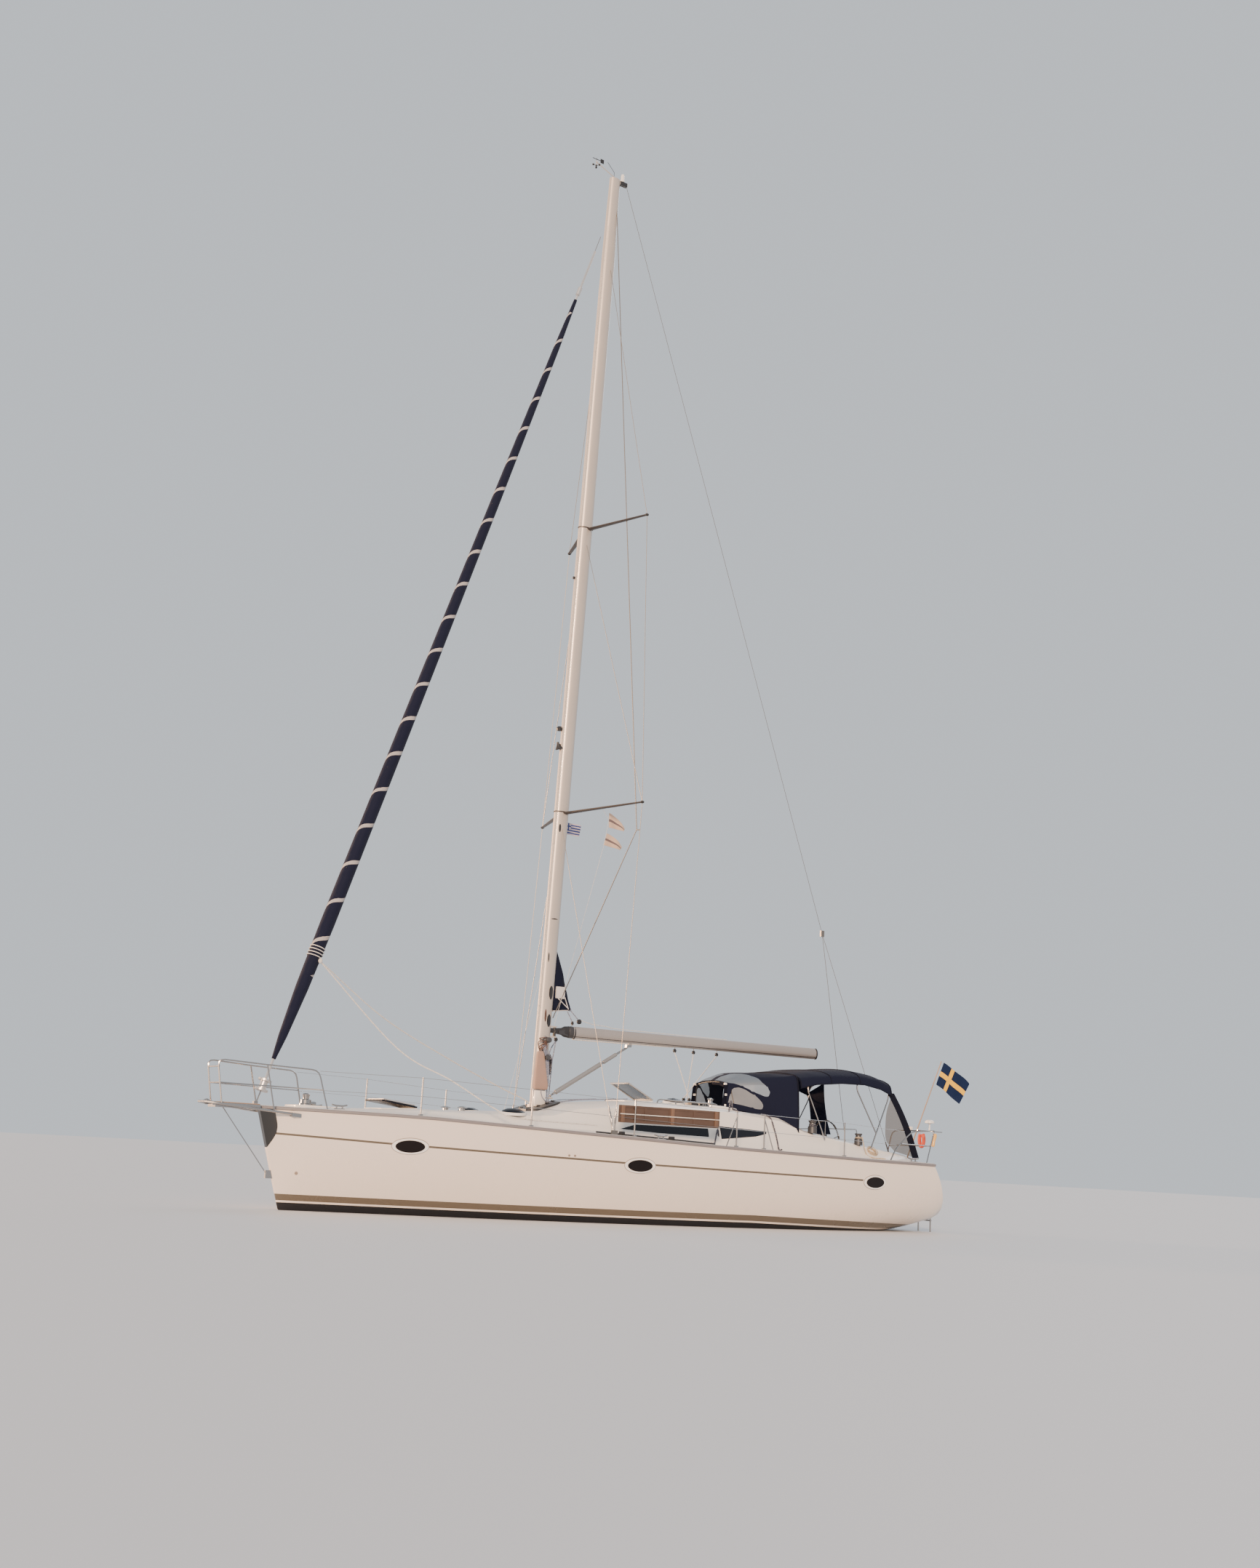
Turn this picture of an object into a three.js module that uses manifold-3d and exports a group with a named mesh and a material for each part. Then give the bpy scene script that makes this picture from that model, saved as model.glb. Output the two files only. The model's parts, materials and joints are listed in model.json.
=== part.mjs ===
// Cruising sailing yacht, about thirteen metres long, afloat with its sails rolled away.
// Millimetres. +X runs to the bow, +Y to port, +Z up. The origin is on the centreline,
// in the plane of the waterline, half way along the waterline's length.

import * as THREE from 'three';
import { mergeVertices } from 'three/addons/utils/BufferGeometryUtils.js';
import Module from 'manifold-3d';

const wasm = await Module();
wasm.setup();

// Driving dimensions

const SEAT_GAP = 0.3;
const TUBE_SIDES = 6;
const WIRE_SIDES = 6;

const HULL = {
  stemDeckX: 6500,
  stemWaterX: 6025,
  sternDeckX: -6250,
  sternWaterX: -6060,
  stations: 26,
  girthPoints: 12,
  crowding: 0.115,
};

// Each row: x, half breadth at the deck edge
const DECK_BREADTH = [
  [6514, 40], [6350, 210], [6025, 400], [5420, 660], [4820, 900], [3615, 1300], [2410, 1600],
  [1205, 1820], [0, 1970], [-1205, 2060], [-2410, 2090], [-3615, 2070], [-4820, 1990], [-6310, 1800],
];

// Each row: x, height of the deck edge above the water
const SHEER = [
  [6514, 1540], [4190, 1519], [1570, 1414], [-1200, 1314], [-4570, 1240], [-6310, 1223],
];

// Each row: x at the waterline, height of the hull's lowest line
const KEEL_LINE = [
  [6025, -60], [5600, -190], [4400, -370], [2200, -530], [0, -590],
  [-2000, -530], [-4000, -330], [-5200, -150], [-6060, 0],
];

// Each row: share of the length from the stem, fullness of the section (small is full)
const FULLNESS = [
  [0, 0.9], [0.1, 0.64], [0.3, 0.445], [0.5, 0.34], [0.7, 0.3], [0.9, 0.26], [1, 0.27],
];

// Each row: height, x of the stern's profile
const STERN_PROFILE = [
  [-60, -5980], [0, -6040], [150, -6330], [270, -6640], [440, -6672], [680, -6572],
  [1020, -6382], [1223, -6250],
];

// Each row: how far the stern's face bulges aft, share of its breadth, share of its height
const STERN_BULGE = [
  [45, 0.965, 0.97], [85, 0.88, 0.92], [115, 0.7, 0.86],
];

// Each row: x, height of the roof's or coaming's top, half breadth of its top, half breadth of its foot
const ROOF = [
  [6420, 1592, 60, 100],
  [6000, 1606, 220, 300],
  [5200, 1630, 380, 520],
  [4620, 1655, 470, 640],
  [3910, 1690, 640, 820],
  [2830, 1724, 860, 1040],
  [2120, 1756, 960, 1160],
  [1690, 1800, 1000, 1240],
  [1210, 1948, 1030, 1330],
  [350, 2030, 1080, 1400],
  [-530, 2095, 1120, 1440],
  [-1790, 2085, 1150, 1450],
  [-3030, 1990, 1160, 1440],
  [-3600, 1800, 1180, 1430],
  [-5150, 1575, 1200, 1400],
  [-6050, 1445, 1180, 1350],
  [-6240, 1330, 1160, 1320],
];

const DECK = {
  edgeRise: 55,
  sideRise: 75,
  crown: 70,
  underDip: 6,
  edgeInset: 8,
};

const CABIN = {
  aftX: -2560,
  foreX: 1650,
  halfBreadth: 1290,
  soleZ: -230,
  wall: 45,
};

const COCKPIT = {
  foreX: -2760,
  tubTopZ: 1330,
  aftX: -6020,
  halfBreadth: 1040,
  seatZ: 1130,
  wellHalfBreadth: 430,
  helmX: -4050,
  helmHalfBreadth: 1060,
  soleZ: 740,
  tubHalfBreadth: 1240,
  tubFloorZ: 660,
};

const COMPANIONWAY = {
  halfBreadth: 330,
  sillZ: 1290,
  foreX: -1900,
};

const MAST = {
  footX: 1442,
  footZ: 1780,
  headX: 978,
  headZ: 20000,
  length: 286,
  width: 170,
  taperZ: 18300,
  headScale: 0.8,
};

const MAST_RAKE = (MAST.footX - MAST.headX) / (MAST.headZ - MAST.footZ);

// The mast's centreline at a height
function mastX(z) {
  return MAST.footX - MAST_RAKE * (z - MAST.footZ);
}

// Interpolation through a table whose first column runs up or down

function smooth(table, at, column = 1) {
  const rising = table[0][0] < table[table.length - 1][0];
  const rows = rising ? table : [...table].reverse();
  const last = rows.length - 1;
  if (at <= rows[0][0]) return rows[0][column];
  if (at >= rows[last][0]) return rows[last][column];
  const k = rows.findIndex((row) => row[0] >= at) - 1;
  const slope = (i) => {
    const a = rows[Math.max(i - 1, 0)];
    const b = rows[Math.min(i + 1, last)];
    return (b[column] - a[column]) / (b[0] - a[0]);
  };
  const span = rows[k + 1][0] - rows[k][0];
  const t = (at - rows[k][0]) / span;
  const cubic = 2 * t ** 3 - 3 * t ** 2;
  return (cubic + 1) * rows[k][column] - cubic * rows[k + 1][column]
    + (t ** 3 - 2 * t ** 2 + t) * span * slope(k) + (t ** 3 - t ** 2) * span * slope(k + 1);
}

function straight(table, at, column = 1) {
  const rising = table[0][0] < table[table.length - 1][0];
  const rows = rising ? table : [...table].reverse();
  const last = rows.length - 1;
  if (at <= rows[0][0]) return rows[0][column];
  if (at >= rows[last][0]) return rows[last][column];
  const k = rows.findIndex((row) => row[0] >= at) - 1;
  const t = (at - rows[k][0]) / (rows[k + 1][0] - rows[k][0]);
  return THREE.MathUtils.lerp(rows[k][column], rows[k + 1][column], t);
}

// Solids

function solid(geometry) {
  const bare = geometry.clone();
  bare.deleteAttribute('normal');
  bare.deleteAttribute('uv');
  const merged = mergeVertices(bare, 1e-3);
  const index = Array.from(merged.index.array);
  const kept = [];
  for (let i = 0; i < index.length; i += 3) {
    const [a, b, c] = index.slice(i, i + 3);
    if (a !== b && b !== c && c !== a) kept.push(a, b, c);
  }
  const mesh = new wasm.Mesh({
    numProp: 3,
    vertProperties: new Float32Array(merged.attributes.position.array),
    triVerts: new Uint32Array(kept),
  });
  return new wasm.Manifold(mesh);
}

function geometryOf(body) {
  const { vertProperties, triVerts } = body.getMesh();
  const geometry = new THREE.BufferGeometry();
  geometry.setAttribute('position', new THREE.BufferAttribute(new Float32Array(vertProperties), 3));
  geometry.setIndex(new THREE.BufferAttribute(new Uint32Array(triVerts), 1));
  geometry.computeVertexNormals();
  return geometry;
}

function join(...bodies) {
  return bodies.flat().reduce((sum, body) => sum.add(body));
}

function cut(body, ...tools) {
  return tools.flat().reduce((rest, tool) => rest.subtract(tool), body);
}

// The body with its carrier's shape taken out, a seat's gap clear of it
function seated(body, carrier, x = 0, y = 0, z = SEAT_GAP) {
  return body.subtract(carrier.translate([x, y, z]));
}

function largest(body) {
  return body.decompose().sort((a, b) => b.volume() - a.volume())[0];
}

function mirrorY(body) {
  return body.mirror([0, 1, 0]);
}

function boxBetween(low, high) {
  const size = high.map((value, i) => value - low[i]);
  const box = new THREE.BoxGeometry(...size);
  box.translate(...high.map((value, i) => (value + low[i]) / 2));
  return solid(box);
}

function rod(from, to, radius, sides = TUBE_SIDES, endRadius = radius) {
  const a = new THREE.Vector3(...from);
  const b = new THREE.Vector3(...to);
  const span = b.clone().sub(a);
  const cylinder = new THREE.CylinderGeometry(endRadius, radius, span.length(), sides);
  const turn = new THREE.Quaternion().setFromUnitVectors(new THREE.Vector3(0, 1, 0), span.normalize());
  cylinder.applyQuaternion(turn);
  cylinder.translate(...a.add(b).multiplyScalar(0.5));
  return solid(cylinder);
}

function ball(at, radius, sides = TUBE_SIDES) {
  const sphere = new THREE.SphereGeometry(radius, sides, sides / 2);
  sphere.translate(...at);
  return solid(sphere);
}

// A plate with an outline in x and z, as thick as given, centred on a y
function platePlan(outline, low, high) {
  const shape = new THREE.Shape(outline.map((point) => new THREE.Vector2(...point)));
  const plate = new THREE.ExtrudeGeometry(shape, { depth: high - low, bevelEnabled: false });
  plate.translate(0, 0, low);
  plate.rotateX(Math.PI / 2);
  plate.scale(1, -1, 1);
  const flat = plate.attributes.position;
  for (let i = 0; i < flat.count; i += 3) {
    const a = new THREE.Vector3().fromBufferAttribute(flat, i);
    const b = new THREE.Vector3().fromBufferAttribute(flat, i + 1);
    flat.setXYZ(i, b.x, b.y, b.z);
    flat.setXYZ(i + 1, a.x, a.y, a.z);
  }
  return solid(plate);
}

// A route of straight runs with rounded corners, sampled at its own points
class BentRoute extends THREE.Curve {
  constructor(corners, bend, cornerSteps = 3) {
    super();
    const points = corners.map((corner) => new THREE.Vector3(...corner));
    this.points = [points[0]];
    for (let i = 1; i < points.length - 1; i += 1) {
      const back = points[i - 1].clone().sub(points[i]);
      const ahead = points[i + 1].clone().sub(points[i]);
      const reach = Math.min(bend, back.length() * 0.45, ahead.length() * 0.45);
      const entry = points[i].clone().addScaledVector(back.normalize(), reach);
      const leave = points[i].clone().addScaledVector(ahead.normalize(), reach);
      const corner = new THREE.QuadraticBezierCurve3(entry, points[i], leave);
      this.points.push(...corner.getPoints(cornerSteps));
    }
    this.points.push(points[points.length - 1]);
  }

  get steps() {
    return this.points.length - 1;
  }

  getPoint(t) {
    const place = t * this.steps;
    const k = Math.min(Math.floor(place), this.steps - 1);
    return this.points[k].clone().lerp(this.points[k + 1], place - k);
  }

  getPointAt(u) {
    return this.getPoint(u);
  }

  getSpacedPoints() {
    return this.points.map((point) => point.clone());
  }

  getTangentAt(u) {
    const k = Math.round(u * this.steps);
    const before = this.points[Math.max(k - 1, 0)];
    const after = this.points[Math.min(k + 1, this.steps)];
    return after.clone().sub(before).normalize();
  }
}

function tube(corners, radius, bend = 60, sides = TUBE_SIDES, cornerSteps = 3) {
  const route = new BentRoute(corners, bend, cornerSteps);
  const round = new THREE.Shape();
  for (let i = 0; i < sides; i += 1) {
    const angle = (2 * Math.PI * i) / sides;
    const place = [radius * Math.cos(angle), radius * Math.sin(angle)];
    if (i === 0) round.moveTo(...place);
    else round.lineTo(...place);
  }
  round.closePath();
  return solid(new THREE.ExtrudeGeometry(round, { steps: route.steps, extrudePath: route }));
}

// A skin over rings of points. Every ring has as many points as the next, and the ends are closed
// across the rings' own centres.
function loft(rings) {
  const count = rings[0].length;
  const points = rings.flat();
  const faces = [];
  for (let k = 0; k < rings.length - 1; k += 1) {
    for (let i = 0; i < count; i += 1) {
      const j = (i + 1) % count;
      const [a, b, c, d] = [k * count + i, k * count + j, (k + 1) * count + j, (k + 1) * count + i];
      faces.push(a, b, c, a, c, d);
    }
  }
  for (const end of [0, rings.length - 1]) {
    const middle = rings[end].reduce((sum, p) => sum.map((v, i) => v + p[i] / count), [0, 0, 0]);
    const hub = points.length;
    points.push(middle);
    for (let i = 0; i < count; i += 1) {
      const [a, b] = [end * count + i, end * count + ((i + 1) % count)];
      if (end === 0) faces.push(hub, b, a);
      else faces.push(hub, a, b);
    }
  }
  return oriented(points, faces);
}

// A skin over half sections, mirrored about the centreline, with ladder-shaped ends
function halfLoft(halves) {
  const n = halves[0].length;
  const rings = halves.map((half) => [...half, ...[...half].reverse().map(([x, y, z]) => [x, -y, z])]);
  const count = 2 * n;
  const faces = [];
  for (let k = 0; k < rings.length - 1; k += 1) {
    for (let i = 0; i < count; i += 1) {
      const j = (i + 1) % count;
      const [a, b, c, d] = [k * count + i, k * count + j, (k + 1) * count + j, (k + 1) * count + i];
      faces.push(a, b, c, a, c, d);
    }
  }
  for (const end of [0, rings.length - 1]) {
    for (let i = 0; i < n - 1; i += 1) {
      const [a, b, c, d] = [i, i + 1, count - 2 - i, count - 1 - i].map((v) => end * count + v);
      if (end === 0) faces.push(a, c, b, a, d, c);
      else faces.push(a, b, c, a, c, d);
    }
  }
  return oriented(rings.flat(), faces);
}

// A solid from points and faces, turned so that its faces point outwards
function oriented(points, faces) {
  const volume = faces.reduce((sum, _, i) => {
    if (i % 3) return sum;
    const [a, b, c] = faces.slice(i, i + 3).map((v) => new THREE.Vector3(...points[v]));
    return sum + a.dot(b.cross(c));
  }, 0);
  if (volume < 0) {
    for (let i = 0; i < faces.length; i += 3) [faces[i], faces[i + 1]] = [faces[i + 1], faces[i]];
  }
  const geometry = new THREE.BufferGeometry();
  geometry.setAttribute('position', new THREE.Float32BufferAttribute(points.flat(), 3));
  geometry.setIndex(faces);
  return solid(geometry);
}

// Hull

// X of the stem or the stern at a height, and of any point a share of the way between them
function hullX(share, z) {
  const stemSlope = (HULL.stemDeckX - HULL.stemWaterX) / straight(SHEER, HULL.stemDeckX);
  const stem = z >= 0 ? HULL.stemWaterX + stemSlope * z : HULL.stemWaterX + 1.6 * z;
  return THREE.MathUtils.lerp(stem, smooth(STERN_PROFILE, z), share);
}

// Half of the hull's outline at a share of its length, from the lowest line up to the deck edge
function hullSection(share, bulge = [0, 1, 1]) {
  const deckX = THREE.MathUtils.lerp(HULL.stemDeckX, HULL.sternDeckX, share);
  const waterX = THREE.MathUtils.lerp(HULL.stemWaterX, HULL.sternWaterX, share);
  const top = straight(SHEER, deckX);
  const bottom = smooth(KEEL_LINE, waterX) + (share > 0.999 ? 60 : 0);
  const breadth = smooth(DECK_BREADTH, deckX);
  const fullness = smooth(FULLNESS, share);
  const middle = (top + bottom) / 2;
  const half = [];
  for (let i = 0; i <= HULL.girthPoints; i += 1) {
    const t = i / HULL.girthPoints;
    const turn = 1.2 * 0.5 ** 1.8;
    const rise = t < 0.5 ? 1.2 * t ** 1.8 : turn + (1 - turn) * ((t - 0.5) / 0.5);
    const z = bottom + (top - bottom) * rise;
    const y = breadth * (1 - (1 - rise) ** 2) ** fullness;
    const [aft, broad, tall] = bulge;
    const placed = middle + (z - middle) * tall;
    half.push([hullX(share, z) - aft, y * broad, placed]);
  }
  return half;
}

// Stations crowd together towards both ends
function stationShare(k) {
  const t = k / HULL.stations;
  return Math.min(Math.max(t - HULL.crowding * Math.sin(2 * Math.PI * t), 0), 1);
}

function hullBody() {
  const halves = [];
  for (let k = 0; k <= HULL.stations; k += 1) {
    halves.push(hullSection(stationShare(k)));
  }
  for (const bulge of STERN_BULGE) halves.push(hullSection(1, bulge));
  return halfLoft(halves);
}

// Deck with the coachroof and the cockpit's coamings

function deckSection(x, inset = 0, drop = 0) {
  const edge = smooth(DECK_BREADTH, x) - DECK.edgeInset - inset;
  const sheer = straight(SHEER, x);
  const rail = sheer + DECK.edgeRise;
  const roof = straight(ROOF, x) - drop;
  const top = Math.min(straight(ROOF, x, 2) - inset, edge * 0.7);
  const foot = Math.min(straight(ROOF, x, 3) - inset, edge * 0.82);
  const footZ = Math.min(rail + DECK.sideRise * (1 - foot / edge), roof - 15);
  const crown = Math.min(DECK.crown, (roof - footZ) * 0.3);
  const shoulder = roof - crown;
  const under = inset ? sheer - 600 : sheer - DECK.underDip;
  return [
    [x, 0, under],
    [x, edge, under],
    [x, edge, Math.max(rail - drop, under + 20)],
    [x, edge - 45, Math.max(rail + 4 - drop, under + 21)],
    [x, foot, footZ],
    [x, THREE.MathUtils.lerp(foot, top, 0.82), THREE.MathUtils.lerp(footZ, shoulder, 0.72)],
    [x, THREE.MathUtils.lerp(foot, top, 0.95), THREE.MathUtils.lerp(footZ, shoulder, 0.93)],
    [x, top - (foot - top) * 0.25, shoulder + crown * 0.22],
    [x, top * 0.5, shoulder + crown * 0.8],
    [x, 0, roof],
  ];
}

const DECK_STATIONS = [
  6490, 6380, 6200, 6000, 5600, 5200, 4620, 3910, 3300, 2830, 2120, 1690, 1450, 1210, 800, 350, -530,
  -1200, -1790, -2400, -3030, -3300, -3600, -4300, -5150, -5700, -6050, -6240,
];

function cockpitVoid() {
  const top = 2600;
  return join(
    boxBetween([COCKPIT.helmX, -COCKPIT.halfBreadth, COCKPIT.seatZ], [COCKPIT.foreX, COCKPIT.halfBreadth, top]),
    boxBetween([COCKPIT.aftX, -COCKPIT.helmHalfBreadth, COCKPIT.seatZ], [COCKPIT.helmX + 1, COCKPIT.helmHalfBreadth, top]),
    boxBetween([COCKPIT.helmX, -COCKPIT.wellHalfBreadth, COCKPIT.soleZ], [COCKPIT.foreX, COCKPIT.wellHalfBreadth, top]),
    boxBetween([HELM.seatX, -COCKPIT.helmHalfBreadth, COCKPIT.soleZ], [COCKPIT.helmX + 1, COCKPIT.helmHalfBreadth, top]),
    boxBetween([COCKPIT.aftX - 400, -GATE.halfBreadth, COCKPIT.soleZ], [COCKPIT.helmX, GATE.halfBreadth, top]),
  );
}

const GATE = {
  halfBreadth: 360,
  stepX: -6330,
  platformZ: 430,
};

const HELM = {
  seatX: -5250,
  wheelX: -4560,
  wheelY: 620,
  wheelZ: 1560,
  wheelRadius: 410,
  rim: 14,
  pedestalTopZ: 1640,
};

function tubBlock(gap) {
  return boxBetween(
    [COCKPIT.aftX + 60 + gap, -COCKPIT.tubHalfBreadth + gap, COCKPIT.tubFloorZ + gap],
    [COCKPIT.foreX + 150 - gap, COCKPIT.tubHalfBreadth - gap, COCKPIT.tubTopZ],
  );
}

function hatchHole(spec) {
  const half = spec.size / 2;
  return boxBetween([spec.x - half, spec.y - half, spec.z - 400], [spec.x + half, spec.y + half, spec.z + 300]);
}

const HATCH = { rim: 25, lid: 28, frameDepth: 34, base: 1.2, hingeEdge: -0.25 };

// Each hatch: middle, clear size, height of the hinge, slope of the deck there and opening, both in degrees
const HATCHES = {
  main: { x: -479, y: 0, z: 2060, size: 560, seatZ: 2106, tilt: 2.35, open: 29 },
  fore: { x: 4220, y: 0, z: 1680, size: 600, seatZ: 1699, tilt: 2.8, open: 10 },
};

const PANE_SHARE = 0.992;

// Windows in the coachroof's sides. Each outline: x, z in the plane of the side
const WINDOWS = {
  fwd: [[540, 1560], [200, 1650], [-1318, 1662], [-1287, 1515], [-200, 1528]],
  aft: [[-1578, 1716], [-1549, 1492], [-2350, 1573], [-2620, 1634], [-2640, 1680]],
};

function windowTool(outline, size) {
  const cx = outline.reduce((sum, p) => sum + p[0], 0) / outline.length;
  const cz = outline.reduce((sum, p) => sum + p[1], 0) / outline.length;
  const points = outline.map(([x, z]) => [cx + (x - cx) * size, cz + (z - cz) * size]);
  return platePlan(points, 900, 1600);
}

function cabinVoid() {
  const stations = [CABIN.foreX - 40, ...DECK_STATIONS.filter((x) => x < CABIN.foreX - 60 && x > CABIN.aftX + 60), CABIN.aftX + 40];
  const inner = halfLoft(stations.map((x) => deckSection(x, CABIN.wall, CABIN.wall)));
  const well = boxBetween([CABIN.aftX, -CABIN.halfBreadth, CABIN.soleZ], [CABIN.foreX, CABIN.halfBreadth, 3000]);
  return inner.intersect(well);
}

function deckBody() {
  const shell = halfLoft(DECK_STATIONS.map((x) => deckSection(x)));
  const windows = Object.values(WINDOWS).map((outline) => windowTool(outline, 1));
  const doorway = boxBetween(
    [COCKPIT.foreX - 10, -COMPANIONWAY.halfBreadth, COMPANIONWAY.sillZ],
    [COMPANIONWAY.foreX, COMPANIONWAY.halfBreadth, 2600],
  );
  return cut(
    join(shell, tubBlock(SEAT_GAP), Object.values(HATCHES).map(hatchFrame)),
    cabinVoid(),
    cockpitVoid(),
    doorway,
    windows,
    windows.map(mirrorY),
    hatchHole(HATCHES.main),
    hatchHole(HATCHES.fore),
  );
}

// Fin keel, rudder and drive

// Each row: x of the leading edge, chord, thickness, height
const KEEL_FIN = [[1250, 1950, 210, -420], [1120, 1700, 190, -700], [900, 1420, 170, -1560]];
// Each row: x of the leading edge, chord, thickness, height
const KEEL_BULB = [
  [1180, 1950, 30, -1500], [1250, 2080, 330, -1640], [1270, 2120, 420, -1750], [1240, 2080, 300, -1860],
  [1150, 1930, 60, -1900],
];
// Each row: x of the leading edge, chord, thickness, height
const RUDDER_BLADE = [[-4830, 640, 110, -290], [-4850, 620, 105, -700], [-4960, 440, 70, -1600]];

const RUDDER = { stockX: -5010, stockRadius: 38, stockTop: 330, hole: 38.7, sides: 24 };

const DRIVE = { x: -2850, topZ: -330, bottomZ: -1020, chord: 300, width: 120, shaftZ: -900 };

const PROPELLER = { x: -3075, radius: 225, hubRadius: 48, hubLength: 110, blades: 3 };

const ENGINE = { low: [-3400, -250, -290], high: [-2640, 250, 330] };
const ENGINE_BAY = { low: [-3500, -330, -290], high: [CABIN.aftX + 10, 330, 540] };

// A ring of points round a foil section, from its leading edge
function foilRing([lead, chord, thickness, z]) {
  const ring = [];
  const sides = 14;
  for (let i = 0; i < sides; i += 1) {
    const angle = (2 * Math.PI * i) / sides;
    const along = (1 - Math.cos(angle)) / 2;
    const full = 1.42 * Math.sqrt(Math.max(along, 0)) * (1 - along) + 0.12 * Math.sin(Math.PI * along);
    ring.push([lead - chord * along, Math.sign(Math.sin(angle)) * thickness * 0.92 * full * (i === 0 ? 0 : 1), z]);
  }
  return ring;
}

function keelBody(hull) {
  const fin = loft(KEEL_FIN.map(foilRing));
  const bulb = loft(KEEL_BULB.map(foilRing));
  return largest(seated(fin.add(bulb), hull, 0, 0, -SEAT_GAP));
}

function rudderBody() {
  const blade = loft(RUDDER_BLADE.map(foilRing));
  return blade.add(rod([RUDDER.stockX, 0, -400], [RUDDER.stockX, 0, RUDDER.stockTop], RUDDER.stockRadius, RUDDER.sides));
}

function driveBody(hull) {
  const ring = (z, chord, width) => foilRing([DRIVE.x + chord / 2, chord, width, z]);
  const leg = loft([
    ring(DRIVE.topZ, DRIVE.chord, DRIVE.width),
    ring(DRIVE.shaftZ, DRIVE.chord * 0.8, DRIVE.width * 0.9),
    ring(DRIVE.bottomZ, DRIVE.chord * 0.55, DRIVE.width * 0.5),
  ]);
  const pod = rod([DRIVE.x + 170, 0, DRIVE.shaftZ], [PROPELLER.x + PROPELLER.hubLength / 2 + SEAT_GAP, 0, DRIVE.shaftZ], 55, 12, 50);
  return largest(seated(leg.add(pod), hull, 0, 0, -SEAT_GAP));
}

function propellerBody() {
  const hubHalf = PROPELLER.hubLength / 2;
  const hub = rod([PROPELLER.x + hubHalf, 0, 0], [PROPELLER.x - hubHalf, 0, 0], PROPELLER.hubRadius, 12, 26);
  const blades = [];
  for (let i = 0; i < PROPELLER.blades; i += 1) {
    const blade = new THREE.CylinderGeometry(68, 40, PROPELLER.radius - 30, 8);
    blade.scale(0.13, 1, 1);
    blade.translate(0, (PROPELLER.radius + 30) / 2, 0);
    blade.rotateY(0.6);
    blade.rotateX((2 * Math.PI * i) / PROPELLER.blades);
    blade.translate(PROPELLER.x, 0, 0);
    blades.push(solid(blade));
  }
  return join(hub, blades).translate([0, 0, DRIVE.shaftZ]);
}

// Inside the cabin

function joineryBody() {
  const sole = boxBetween([CABIN.aftX + 20, -430, CABIN.soleZ + SEAT_GAP], [CABIN.foreX - 20, 430, CABIN.soleZ + 40]);
  const settee = boxBetween([-1500, 420, CABIN.soleZ + SEAT_GAP], [900, 1000, 240]);
  const back = boxBetween([-1500, 900, 100], [900, 1020, 640]);
  const galley = boxBetween([-2400, 420, CABIN.soleZ + SEAT_GAP], [-1560, 1020, 690]);
  const chart = boxBetween([-2400, -1020, CABIN.soleZ + SEAT_GAP], [-1560, -420, 560]);
  const bench = boxBetween([-1500, -1000, CABIN.soleZ + SEAT_GAP], [900, -420, 240]);
  const table = boxBetween([-900, -120, 430], [500, 440, 465]);
  const leg = boxBetween([-260, 60, CABIN.soleZ + 20], [-140, 200, 440]);
  return join(sole, settee, back, galley, chart, bench, table, leg);
}

function stepsBody() {
  const steps = [];
  for (let i = 0; i < 4; i += 1) {
    const z = 1080 - i * 300;
    const x = CABIN.aftX + 60 + i * 70;
    steps.push(boxBetween([x - 20, -230, z], [x + 170, 230, z + 35]));
  }
  const side = [[-2540, 1120], [-2330, 1120], [-2060, -150], [-2060, -189.7], [-2540, -189.7]];
  const cheek = platePlan(side, 225, 255);
  return join(steps, cheek, mirrorY(cheek));
}

// Hatches

// Places a body made with its hinge along y at its origin, turned up by an angle
function onHatch(body, spec, open) {
  return body
    .rotate([0, -open, 0])
    .rotate([0, spec.tilt, 0])
    .translate([spec.x - spec.size / 2 - HATCH.rim, spec.y, spec.seatZ]);
}

function hatchLid(spec) {
  const half = spec.size / 2 + HATCH.rim;
  const { base, lid } = HATCH;
  const frame = boxBetween([0, -half, base], [2 * half, half, base + lid]);
  const pane = boxBetween([60, -half + 60, base + 20], [2 * half - 60, half - 60, base + lid + 6]);
  return onHatch(frame.add(pane), spec, spec.open);
}

// The low frame on the deck that the closed lid lies on
function hatchFrame(spec) {
  const half = spec.size / 2 + HATCH.rim;
  const { base, frameDepth, hingeEdge } = HATCH;
  return onHatch(boxBetween([hingeEdge, -half, -frameDepth], [2 * half, half, base - SEAT_GAP]), spec, 0);
}

// Rig

function mastBody(deck) {
  const ring = (z, size) => {
    const points = [];
    for (let i = 0; i < 18; i += 1) {
      const angle = (2 * Math.PI * i) / 18;
      points.push([
        mastX(z) + (MAST.length / 2) * Math.cos(angle) * size,
        (MAST.width / 2) * Math.sin(angle) * size,
        z,
      ]);
    }
    return points;
  };
  const tubeBody = loft([ring(MAST.footZ, 1), ring(MAST.taperZ, 1), ring(MAST.headZ, MAST.headScale)]);
  const collar = rod([mastX(1860), 0, MAST.footZ], [mastX(1920), 0, 1905], 190, 16, 175);
  const crane = boxBetween([690, -22, 19930], [mastX(MAST.headZ), 22, 20004]);
  const arm = rod([mastX(19990), WIND.y, 19990], [WIND.x, WIND.y, WIND.z - 60], 9, 6);
  const spindle = rod([WIND.x, WIND.y, WIND.hubTop + SEAT_GAP], [WIND.x, WIND.y, WIND.vaneLow - SEAT_GAP], 7, 8);
  const mast = join(tubeBody, collar, crane, arm, spindle, mastBrackets());
  return largest(seated(mast, deck));
}

const WIND = { x: 1450, y: 40, z: 20240, hubTop: 20118, vaneLow: 20210 };

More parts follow.
